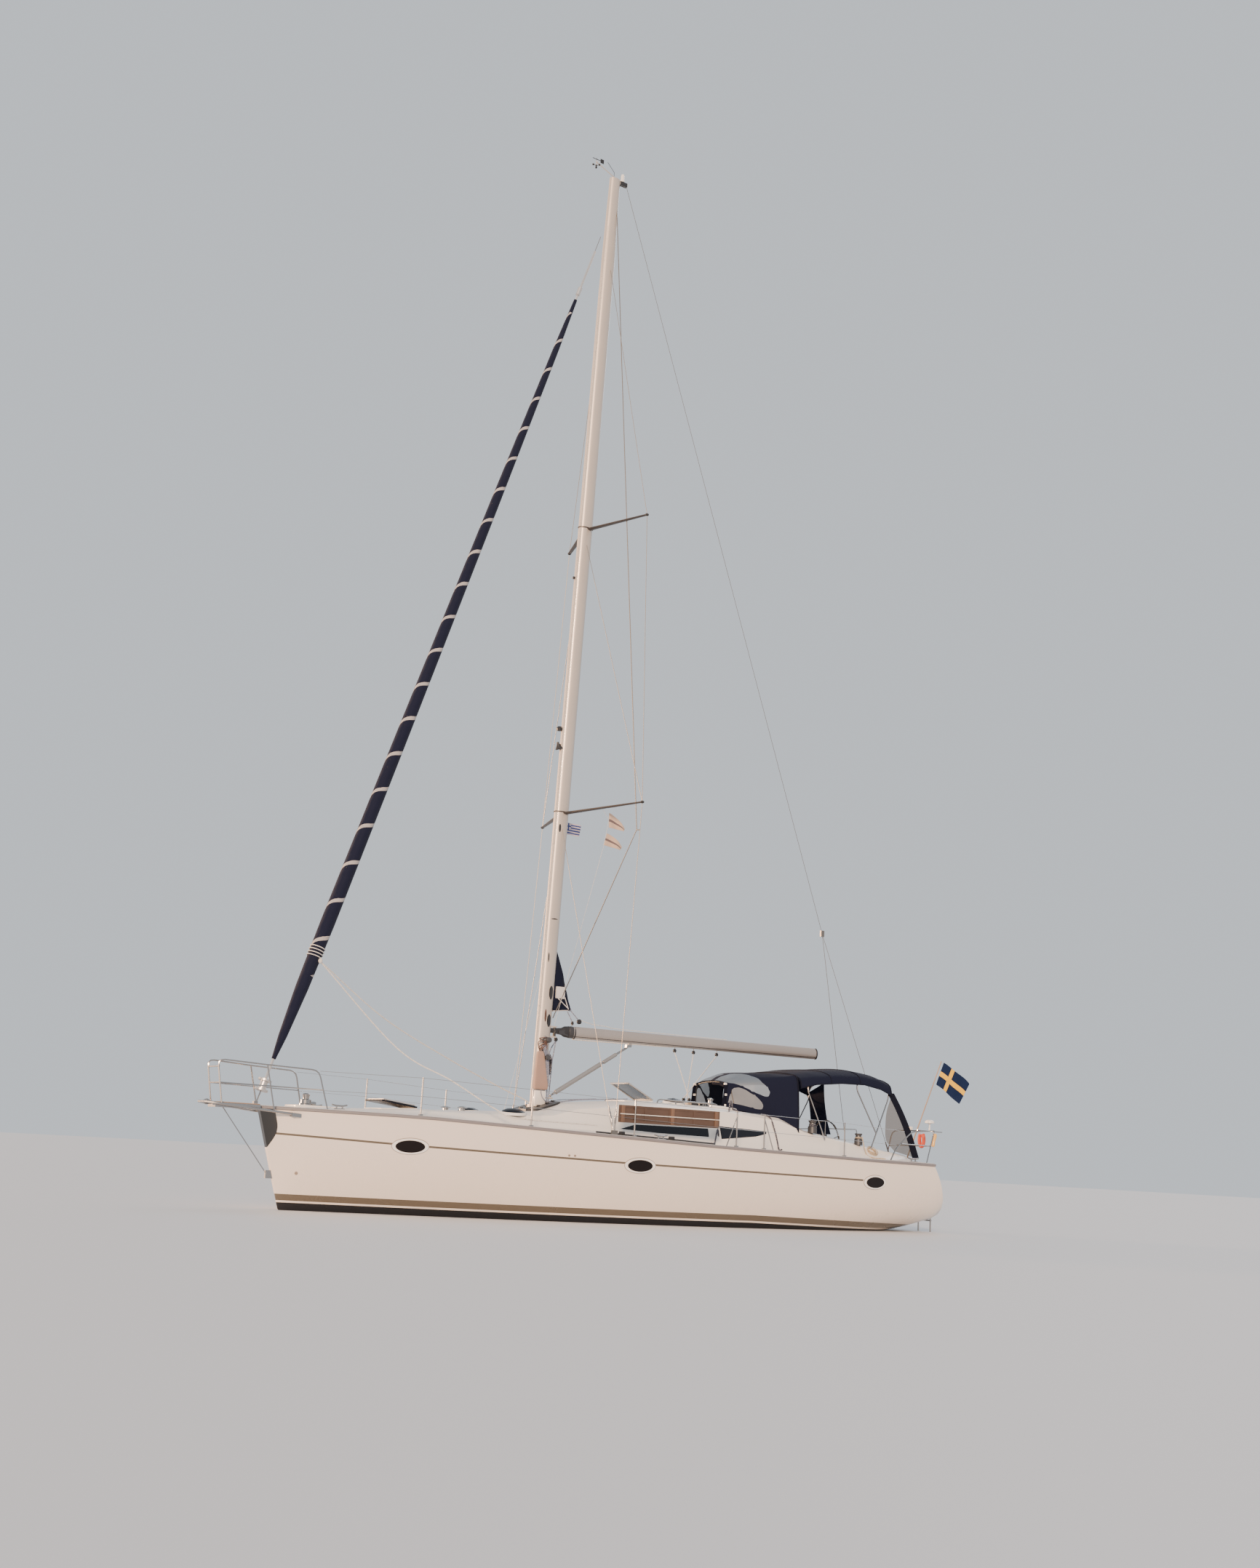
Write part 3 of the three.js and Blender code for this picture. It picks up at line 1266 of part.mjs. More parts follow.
const shrouds = shroudsBody(mast);
add('shrouds_port', largest(seated(shrouds, deck)), 'stainless');
add('shrouds_stbd', largest(seated(mirrorY(shrouds), deck)), 'stainless');
const backstay = backstayBody().subtract(mast.translate([0, 0, -SEAT_GAP]));
add('backstay', largest(seated(backstay, deck)), 'stainless');
add('furler_foil', furlerBody(), 'alloy');
add('genoa_roll', rollBody(), 'navyCloth');
const ends = forestayEnds(mast);
add('forestay_foot', ends.foot, 'stainless');
add('forestay_head', ends.head, 'stainless');
const platform = bowspritBody(hull, deck, railBody());
add('bowsprit', platform, 'stainless');
add('pulpit', pulpitBody(deck, platform), 'stainless');
const guardrail = guardrailBody();
add('guardrail_port', seated(guardrail, deck), 'stainless');
add('guardrail_stbd', seated(mirrorY(guardrail), deck), 'stainless');
add('pushpit_port', seated(pushpitBody(), deck), 'stainless');
add('pushpit_stbd', seated(mirrorY(pushpitBody()), deck), 'stainless');
for (const [name, side] of [['port', 1], ['stbd', -1]]) {
  add(`pedestal_${name}`, pedestalBody(side), 'gelcoat');
  add(`steering_wheel_${name}`, wheelBody(side), 'stainless');
  for (const winch of WINCHES) add(`${winch.name}_${name}`, winchBody(winch, side, deck), 'stainless');
}
add('traveller', travellerBody(deck), 'darkAlloy');
add('sprayhood', hoodBody(deck), 'navyCloth');
const canopy = archShell(BIMINI);
add('bimini', canopy, 'navyCloth');
add('bimini_bow_fore', bowBody(BOWS.fore, canopy, deck), 'stainless');
add('bimini_bow_aft', bowBody(BOWS.aft, canopy, deck).add(bowBody(BOWS.aftStay, canopy, deck)), 'stainless');
add('flagstaff', flagstaffBody(deck), 'timber');
add('gangplank', gangplankBody(), 'timber');
add('stern_ladder', ladderBody(), 'stainless');

export default yacht;
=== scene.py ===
"""Looks of a cruising sloop afloat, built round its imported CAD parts."""

from __future__ import annotations

import json
import logging
import math
import random
from dataclasses import dataclass, field
from enum import Enum
from typing import Callable, Iterable, Sequence

import bmesh
import bpy
from mathutils import Matrix, Vector
from mathutils.bvhtree import BVHTree
from mathutils.geometry import intersect_point_line

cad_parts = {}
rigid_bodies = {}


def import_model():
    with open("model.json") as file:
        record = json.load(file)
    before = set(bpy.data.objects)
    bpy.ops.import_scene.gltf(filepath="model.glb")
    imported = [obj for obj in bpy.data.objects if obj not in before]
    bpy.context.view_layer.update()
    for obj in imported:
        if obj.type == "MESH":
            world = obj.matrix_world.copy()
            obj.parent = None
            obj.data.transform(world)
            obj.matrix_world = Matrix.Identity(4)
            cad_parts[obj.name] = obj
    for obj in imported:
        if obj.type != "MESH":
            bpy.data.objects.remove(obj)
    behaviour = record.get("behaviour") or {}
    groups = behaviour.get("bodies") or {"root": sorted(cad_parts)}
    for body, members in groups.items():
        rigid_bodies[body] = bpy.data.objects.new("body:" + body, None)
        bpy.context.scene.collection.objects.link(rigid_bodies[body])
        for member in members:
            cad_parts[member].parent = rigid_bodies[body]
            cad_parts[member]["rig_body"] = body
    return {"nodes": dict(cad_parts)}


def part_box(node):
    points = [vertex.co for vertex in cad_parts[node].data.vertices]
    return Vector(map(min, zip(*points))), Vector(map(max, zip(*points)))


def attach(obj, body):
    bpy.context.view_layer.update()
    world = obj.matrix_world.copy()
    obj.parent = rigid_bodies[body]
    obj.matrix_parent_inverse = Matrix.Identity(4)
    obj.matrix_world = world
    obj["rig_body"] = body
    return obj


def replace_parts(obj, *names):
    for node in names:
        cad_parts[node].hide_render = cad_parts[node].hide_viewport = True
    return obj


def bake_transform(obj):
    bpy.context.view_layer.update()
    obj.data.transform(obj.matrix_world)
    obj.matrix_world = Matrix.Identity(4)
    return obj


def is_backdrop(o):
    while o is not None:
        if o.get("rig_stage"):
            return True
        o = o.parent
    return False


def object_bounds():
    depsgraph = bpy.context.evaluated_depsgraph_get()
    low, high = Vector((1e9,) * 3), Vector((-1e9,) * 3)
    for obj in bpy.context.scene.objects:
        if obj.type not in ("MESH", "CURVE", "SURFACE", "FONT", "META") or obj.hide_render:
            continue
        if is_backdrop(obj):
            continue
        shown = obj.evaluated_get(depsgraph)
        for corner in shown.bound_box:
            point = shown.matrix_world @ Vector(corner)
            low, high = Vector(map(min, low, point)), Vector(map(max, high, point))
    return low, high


log = logging.getLogger("sloop")
Colour = tuple[float, float, float]
Point = Sequence[float]
Point2 = tuple[float, float]
Profile = Sequence[Point2]
Rows = Sequence[Sequence]
# The photograph's height in pixels, and the camera's sensor in millimetres
IMAGE_HIGH = 2156
SENSOR = 36.0
UP = (0, 0, 1)
# The mast's lean aft to the metre, and the x and height of its foot
RAKE = 0.025467
MAST_FOOT = (1.442, 1.78)


class Side(Enum):
    """A side of the boat, as the sign of y."""

    PORT = 1
    STBD = -1

    @property
    def label(self) -> str:
        """The side's name in piece names."""
        return self.name.lower()


class Weave(Enum):
    """How a cloth is woven, as threads to the metre."""

    CANVAS = 420.0
    BUNTING = 900.0
    WEBBING = 260.0


# Shader maths


def operator(kind: str, swap: bool = False) -> Callable[["Sock", "Sock | float"], "Sock"]:
    """An operator between sockets that adds a Math node."""
    def apply(self: "Sock", other: "Sock | float") -> "Sock":
        """Joins the socket and another value."""
        return self.graph.math(kind, *((other, self) if swap else (self, other)))
    return apply


@dataclass
class Sock:
    """A shader socket, with operators that add Math nodes."""

    graph: "Graph"
    out: bpy.types.NodeSocket

    __add__ = __radd__ = operator("ADD")
    __mul__ = __rmul__ = operator("MULTIPLY")
    __sub__ = operator("SUBTRACT")
    __rsub__ = operator("SUBTRACT", swap=True)
    __truediv__ = operator("DIVIDE")
    __gt__ = operator("GREATER_THAN")
    __lt__ = operator("LESS_THAN")
    __or__ = operator("MAXIMUM")

    def within(self, half: float) -> "Sock":
        """One where the value is less than half away from zero."""
        return self.graph.math("ABSOLUTE", self) < half


class Graph:
    """One material's node tree."""

    inputs = {"metallic": "Metallic", "coat": "Coat Weight", "sheen": "Sheen Weight",
              "specular": "Specular IOR Level", "alpha": "Alpha"}

    def __init__(self, name: str) -> None:
        """Makes an empty material with its output, a Principled shader and Object coordinates."""
        self.material = bpy.data.materials.new(name)
        self.material.use_nodes = True
        self.tree = self.material.node_tree
        self.tree.nodes.clear()
        output = self.tree.nodes.new("ShaderNodeOutputMaterial")
        self.shader = self.tree.nodes.new("ShaderNodeBsdfPrincipled")
        self.tree.links.new(self.shader.outputs[0], output.inputs[0])
        self.place = self.node("ShaderNodeTexCoord", None, None, "Object")

    def node(self, kind: str, settings: dict[str, object] | None = None,
             inputs: dict[int | str, object] | None = None, out: int | str = 0) -> Sock:
        """Adds a node.

        Args:
            kind: The node's type.
            settings: Its properties, set first.
            inputs: Values or sockets for its inputs.
            out: The output wanted.

        Returns:
            The output's socket.
        """
        node = self.tree.nodes.new(kind)
        for key, value in (settings or {}).items():
            setattr(node, key, value)
        for key, value in (inputs or {}).items():
            self.feed(node.inputs[key], value)
        return Sock(self, node.outputs[out])

    def feed(self, target: bpy.types.NodeSocket, value: object) -> None:
        """Links a socket to an input, or sets the input to a value."""
        if isinstance(value, Sock):
            self.tree.links.new(value.out, target)
        elif isinstance(value, tuple) and target.type == "RGBA":
            target.default_value = (*value, 1.0)
        else:
            target.default_value = value

    def math(self, operation: str, *values: "Sock | float", clamp: bool = False) -> Sock:
        """Adds a Math node on the given values."""
        return self.node("ShaderNodeMath", {"operation": operation, "use_clamp": clamp}, dict(enumerate(values)))

    def axes(self, where: Sock | None = None) -> tuple[Sock, Sock, Sock]:
        """The x, y and z of the Object coordinates, or of other ones."""
        split = self.node("ShaderNodeSeparateXYZ", None, {0: where or self.place}).out.node
        return tuple(Sock(self, out) for out in split.outputs)

    def curve(self, factor: Sock, rows: Sequence[Point2]) -> Sock:
        """A grey ramp read by a factor, with one stop for each row of place and value."""
        ramp = self.node("ShaderNodeValToRGB", None, {0: factor})
        elements = ramp.out.node.color_ramp.elements
        while len(elements) < len(rows):
            elements.new(0.5)
        for element, (place, value) in zip(elements, rows):
            element.position = place
            element.color = (value, value, value, 1.0)
        return ramp

    def noise(self, scale: float, detail: float = 3.0, stretch: Point | None = None) -> Sock:
        """Noise on the Object coordinates.

        Args:
            scale: Its scale, to the metre.
            detail: Its octaves.
            stretch: A scale for each axis.

        Returns:
            A value round one half.
        """
        base = self.place
        if stretch:
            base = self.node("ShaderNodeMapping", None, {"Vector": base, "Scale": stretch})
        return self.node("ShaderNodeTexNoise", None, {"Vector": base, "Scale": scale, "Detail": detail})

    def mix(self, factor: "Sock | float", a: "Sock | Colour", b: "Sock | Colour") -> Sock:
        """Mixes two colours."""
        mixer = self.node("ShaderNodeMix", {"data_type": "RGBA"}, {"Factor": factor}).out.node
        sockets = {s.identifier: s for s in (*mixer.inputs, *mixer.outputs)}
        self.feed(sockets["A_Color"], a)
        self.feed(sockets["B_Color"], b)
        return Sock(self, sockets["Result_Color"])

    def lerp(self, factor: Sock, low: float, high: float) -> Sock:
        """A value that goes from low to high as the factor goes from 0 to 1."""
        return factor * (high - low) + low

    def shade(self, colour: "Sock | Colour", roughness: "Sock | float", relief: tuple[Sock, float, float],
              **others: "Sock | float") -> bpy.types.Material:
        """Feeds the shader.

        Args:
            colour: The base colour.
            roughness: The roughness.
            relief: A bump's height, strength and distance.
            others: Other inputs of the shader, by their short names.

        Returns:
            The material.
        """
        bump = self.node("ShaderNodeBump", None, dict(zip(("Height", "Strength", "Distance"), relief)))
        for socket, value in (("Base Color", colour), ("Roughness", roughness), ("Normal", bump)):
            self.feed(self.shader.inputs[socket], value)
        for key, value in others.items():
            self.feed(self.shader.inputs[self.inputs[key]], value)
        return self.material


def toned(colour: Colour, factor: float) -> Colour:
    """A darker or lighter colour."""
    return tuple(min(channel * factor, 1.0) for channel in colour)


# Finishes


@dataclass(frozen=True)
class Finish:
    """A plain finish: one colour with fine variation."""

    name: str
    colour: Colour
    roughness: float = 0.4
    metallic: float = 0.0
    coat: float = 0.0
    mottle: float = 0.06
    grain: float = 90.0
    relief: float = 0.0004

    def build(self) -> bpy.types.Material:
        """Makes the material."""
        graph = Graph(self.name)
        fine = graph.noise(self.grain, 2.0)
        colour = graph.mix(graph.noise(2.3, 4.0), toned(self.colour, 1 - self.mottle * 2),
                           toned(self.colour, 1 + self.mottle))
        rough = graph.lerp(fine, self.roughness * 0.8, min(self.roughness * 1.2, 1.0))
        return graph.shade(colour, rough, (fine, 0.25, self.relief), metallic=self.metallic, coat=self.coat)


@dataclass(frozen=True)
class HullFinish:
    """Gelcoat topsides with their stripes, a polished stem plate painted dark as a painted reflection of the dark
    surroundings, and bottom paint.
    """

    name: str = "hull_gelcoat"
    gelcoat: Colour = (0.87, 0.765, 0.67)
    stripe: Colour = (0.12, 0.095, 0.065)
    bottom: Colour = (0.006, 0.006, 0.009)
    # The stem plate's colour: a painted reflection of the dark surroundings in its polished steel
    steel: Colour = (0.085, 0.08, 0.075)
    grime_top: float = 0.62
    pin_half: float = 0.016
    pin_ends: Point2 = (-4.3, 6.26)
    # The boot stripe's lower edge: x and height where it bends, and its slopes aft and ahead of there
    boot_bend: Point2 = (-2.0, 0.128)
    boot_slopes: Point2 = (0.0225, 0.0028)
    boot_wide: float = 0.1
    paint_gap: float = 0.03
    # The stem plate: its foot's height, its width, how fast it swells, and the stem's x and slope
    plate_low: float = 0.95
    plate_width: float = 0.18
    plate_swell: float = 2.55
    stem_low: float = 6.32
    stem_slope: float = 0.3
    # Each row: x, height of the pinstripe
    pinstripe: tuple[Point2, ...] = (
        (-6.5, 0.855), (-4.43, 0.91), (0.75, 1.0), (2.74, 1.054), (4.6, 1.108), (6.23, 1.173), (6.5, 1.183),
    )

    def build(self) -> bpy.types.Material:
        """Makes the material."""
        graph = Graph(self.name)
        x, _, z = graph.axes()
        cloud = graph.noise(0.9, 5.0)
        streak = graph.noise(1.0, 3.0, (9.0, 9.0, 0.6))
        grime = graph.math("MULTIPLY", graph.math("SUBTRACT", self.grime_top, z, clamp=True) * 0.5, streak, clamp=True)
        low, high = self.pinstripe[0][0], self.pinstripe[-1][0]
        stops = [((px - low) / (high - low), pz - 0.5) for px, pz in self.pinstripe]
        pin = (z - (graph.curve((x - low) / (high - low), stops) + 0.5)).within(self.pin_half)
        pin = pin * (x > self.pin_ends[0]) * (x < self.pin_ends[1])
        bend = x - self.boot_bend[0]
        boot_low = graph.math("MINIMUM", *(bend * slope for slope in self.boot_slopes)) + self.boot_bend[1]
        boot = (z > boot_low) * (z < boot_low + self.boot_wide)
        under = z < boot_low - self.paint_gap
        rise = graph.math("MULTIPLY", z - self.plate_low, self.plate_swell, clamp=True)
        swell = graph.math("SINE", rise * (math.pi / 2))
        stem = (z - self.plate_low) * self.stem_slope + self.stem_low
        plate = (x > stem - swell * self.plate_width) * (z > self.plate_low)
        base = graph.mix(cloud, toned(self.gelcoat, 0.97), self.gelcoat)
        # The stem plate's dark colour below is a painted reflection of the dark surroundings
        for mask, colour in ((grime, toned(self.gelcoat, 0.72)), (pin, self.stripe), (boot, self.stripe),
                             (under, self.bottom), (plate, self.steel)):
            base = graph.mix(mask, base, colour)
        rough = (graph.lerp(cloud, 0.22, 0.34) + under * 0.4 - plate * 0.1) | 0.16
        ripple = graph.noise(1.7, 2.0) + graph.noise(60.0, 2.0) * under * 0.3
        return graph.shade(base, rough, (ripple + plate * 0.35, 0.12, 0.004), metallic=plate, coat=(1 - under) * 0.4)


@dataclass(frozen=True)
class DeckFinish:
    """Gelcoat deck with moulded non-skid on what faces up."""

    name: str = "deck_gelcoat"
    gelcoat: Colour = (0.84, 0.8, 0.75)
    tread: Colour = (0.74, 0.71, 0.67)
    level: float = 0.93
    fore_end: float = 5.9
    # Smooth bands between the treads: radians to the metre, and the sine below which they lie
    bands: Point2 = (3.1, -0.93)

    def build(self) -> bpy.types.Material:
        """Makes the material."""
        graph = Graph(self.name)
        x, _, _ = graph.axes()
        facing = graph.axes(graph.node("ShaderNodeNewGeometry", None, None, "Normal"))[2]
        tread = (facing > self.level) * (graph.math("SINE", x * self.bands[0]) > self.bands[1]) * (x < self.fore_end)
        pips = graph.node("ShaderNodeTexVoronoi", None, {"Vector": graph.place, "Scale": 150.0})
        base = graph.mix(graph.noise(1.1, 4.0), toned(self.gelcoat, 0.96), self.gelcoat)
        return graph.shade(graph.mix(tread * 0.8, base, self.tread), graph.lerp(tread, 0.28, 0.62),
                           (pips * tread, 0.5, 0.0025), coat=(1 - tread) * 0.3)


@dataclass(frozen=True)
class Cloth:
    """Woven cloth, with its weave at its real size."""

    name: str
    colour: Colour
    weave: Weave = Weave.CANVAS
    fade: float = 0.25
    sheen: float = 0.35

    def build(self) -> bpy.types.Material:
        """Makes the material."""
        graph = Graph(self.name)
        weft, warp = (graph.node("ShaderNodeTexWave", {"bands_direction": way},
                                 {"Vector": graph.place, "Scale": self.weave.value / 20}) for way in "XZ")
        cloud = graph.noise(1.6, 5.0)
        faded = tuple(c + (0.35 - c) * self.fade * 0.35 for c in self.colour)
        relief = weft * warp * 0.15 + graph.noise(5.0, 3.0, (1.0, 1.0, 0.35))
        return graph.shade(graph.mix(cloud, self.colour, faded), graph.lerp(cloud, 0.78, 0.95), (relief, 0.35, 0.012),
                           sheen=self.sheen, specular=0.15)


@dataclass(frozen=True)
class RollFinish:
    """The rolled headsail's dark sun strip, with the light edge that winds round it."""

    name: str = "headsail_sun_strip"
    colour: Colour = (0.008, 0.01, 0.026)
    edge: Colour = (0.42, 0.39, 0.38)
    foot: Point = (6.545, 0.0, 1.65)
    lean: float = 0.30327
    pitch: float = 0.69
    width: float = 0.1
    # From where to where along the roll the light edge shows
    wound: Point2 = (2.15, 15.9)

    def build(self) -> bpy.types.Material:
        """Makes the material."""
        graph = Graph(self.name)
        x, y, z = graph.axes()
        ahead, high = x - self.foot[0], z - self.foot[2]
        along = high * math.cos(self.lean) - ahead * math.sin(self.lean)
        angle = graph.math("ARCTAN2", ahead * math.cos(self.lean) + high * math.sin(self.lean), y)
        slow = graph.math("SINE", angle) * 0.5
        phase = graph.math("FRACT", along / self.pitch + (angle - slow) / math.tau + 40.0)
        edge = phase + graph.noise(7.0) * 0.05 < self.width + 0.025
        edge = edge * (along > self.wound[0]) * (along < self.wound[1])
        cloud = graph.noise(2.2, 5.0)
        base = graph.mix(cloud, self.colour, toned(self.colour, 1.2))
        folds = graph.math("PINGPONG", phase * 3.0, 0.5) + graph.noise(14.0, 3.0, (1.0, 1.0, 0.3)) * 0.6
        return graph.shade(graph.mix(edge, base, self.edge), graph.lerp(cloud, 0.7, 0.92), (folds, 0.6, 0.015),
                           sheen=0.05, specular=0.15)


@dataclass(frozen=True)
class Teak:
    """Planks with dark seams, running fore and aft."""

    name: str = "teak_planks"
    light: Colour = (0.46, 0.31, 0.19)
    dark: Colour = (0.3, 0.19, 0.11)
    seam: Colour = (0.03, 0.028, 0.026)
    plank: float = 0.055
    seam_share: float = 0.1

    def build(self) -> bpy.types.Material:
        """Makes the material."""
        graph = Graph(self.name)
        lane = graph.axes()[1] / self.plank
        seam = graph.math("FRACT", lane + 50.0) < self.seam_share
        tone = graph.node("ShaderNodeTexWhiteNoise", {"noise_dimensions": "1D"},
                          {"W": graph.math("FLOOR", lane)}, "Value")
        grain = graph.noise(30.0, 4.0, (0.12, 3.0, 3.0))
        wood = graph.mix(grain * 0.7 + tone * 0.4, self.dark, self.light)
        return graph.shade(graph.mix(seam, wood, self.seam), graph.lerp(grain, 0.5, 0.75),
                           (grain * 0.3 - seam * 0.8, 0.5, 0.002))


@dataclass(frozen=True)
class Spar:
    """Anodised spar with a dark slot along it."""

    name: str = "anodised_spar"
    colour: Colour = (0.6, 0.525, 0.46)
    slot: Colour = (0.05, 0.05, 0.055)
    boom: bool = False
    # The mast's slot: half width, how far behind the middle and from which height up
    track: Point = (0.011, -0.08, 3.35)
    # The boom's groove: x and height of a point in it, its slope and half width; and where the dark end starts
    groove: tuple[float, ...] = (0.83, 3.131, 0.00804, 0.006)
    dark_end: float = 0.8

    def build(self) -> bpy.types.Material:
        """Makes the material."""
        graph = Graph(self.name)
        x, y, z = graph.axes()
        if self.boom:
            at, high, slope, half = self.groove
            slot = ((x - at) * slope + (z - high)).within(half) | (x > self.dark_end)
        else:
            half, behind, low = self.track
            middle = (z - MAST_FOOT[1]) * -RAKE + MAST_FOOT[0]
            slot = y.within(half) * (x - middle < behind) * (z > low)
        cloud = graph.noise(1.5, 4.0)
        base = graph.mix(cloud, toned(self.colour, 0.93), self.colour)
        relief = graph.noise(40.0, 2.0, (4.0, 4.0, 0.1)) - slot * 2.0
        return graph.shade(graph.mix(slot, base, self.slot), graph.lerp(cloud, 0.3, 0.45), (relief, 0.15, 0.002),
                           metallic=0.35, coat=0.25)


@dataclass(frozen=True)
class Rope:
    """Laid or braided rope, its strands following the line."""

    name: str
    colour: Colour
    fleck: Colour
    scale: float = 55.0

    def build(self) -> bpy.types.Material:
        """Makes the material."""
        graph = Graph(self.name)
        braid = graph.node("ShaderNodeTexVoronoi", None, {"Vector": graph.place, "Scale": self.scale * 3})
        fleck = graph.noise(self.scale, 2.0) > 0.57
        return graph.shade(graph.mix(fleck * 0.8, self.colour, self.fleck), graph.lerp(braid, 0.7, 0.95),
                           (braid, 0.6, 0.002))


class Emblem(Enum):
    """What a flag shows."""

    CROSS = "cross"
    STRIPES = "stripes"
    PLAIN = "plain"


@dataclass(frozen=True)
class FlagFinish:
    """Bunting with a cross, stripes or one plain band, on its own UV map."""

    name: str
    emblem: Emblem
    ground: Colour
    figure: Colour
    # Middle and half width of an upright bar, and then of a level one
    cross: tuple[float, ...] = (0.375, 0.0625, 0.5, 0.1)
    canton_cross: tuple[float, ...] = (0.185, 0.04, 0.72, 0.06)
    # Where the canton ends along the flag, and where it starts over the foot
    canton: Point2 = (0.37, 0.44)
    stripes: float = 4.5
    band_half: float = 0.09

    def build(self) -> bpy.types.Material:
        """Makes the material."""
        graph = Graph(self.name)
        u, v, _ = graph.axes(graph.node("ShaderNodeUVMap"))
        if self.emblem is Emblem.CROSS:
            mask = self.bars(u, v, self.cross)
        elif self.emblem is Emblem.STRIPES:
            bands = graph.math("FRACT", v * self.stripes + 0.5) < 0.5
            canton = (u < self.canton[0]) * (v > self.canton[1])
            mask = bands * (1 - canton) | canton * self.bars(u, v, self.canton_cross)
        else:
            mask = (v - 0.5).within(self.band_half)
        cloud = graph.noise(30.0, 3.0)
        return graph.shade(graph.mix(mask, self.ground, self.figure), graph.lerp(cloud, 0.7, 0.9),
                           (cloud, 0.3, 0.004), sheen=0.05, specular=0.15)

    def bars(self, u: Sock, v: Sock, cross: Sequence[float]) -> Sock:
        """One on an upright and a level bar."""
        return (u - cross[0]).within(cross[1]) | (v - cross[2]).within(cross[3])


@dataclass(frozen=True)
class Vinyl:
    """Clear window vinyl, or dark glazing."""

    name: str
    colour: Colour
    alpha: float = 1.0
    roughness: float = 0.08

    def build(self) -> bpy.types.Material:
        """Makes the material."""
        graph = Graph(self.name)
        warp = graph.noise(3.0, 2.0)
        rough = graph.lerp(warp, self.roughness * 0.6, self.roughness * 1.6)
        return graph.shade(graph.mix(warp, self.colour, toned(self.colour, 0.85)), rough, (warp, 0.08, 0.01),
                           alpha=self.alpha, specular=0.25)


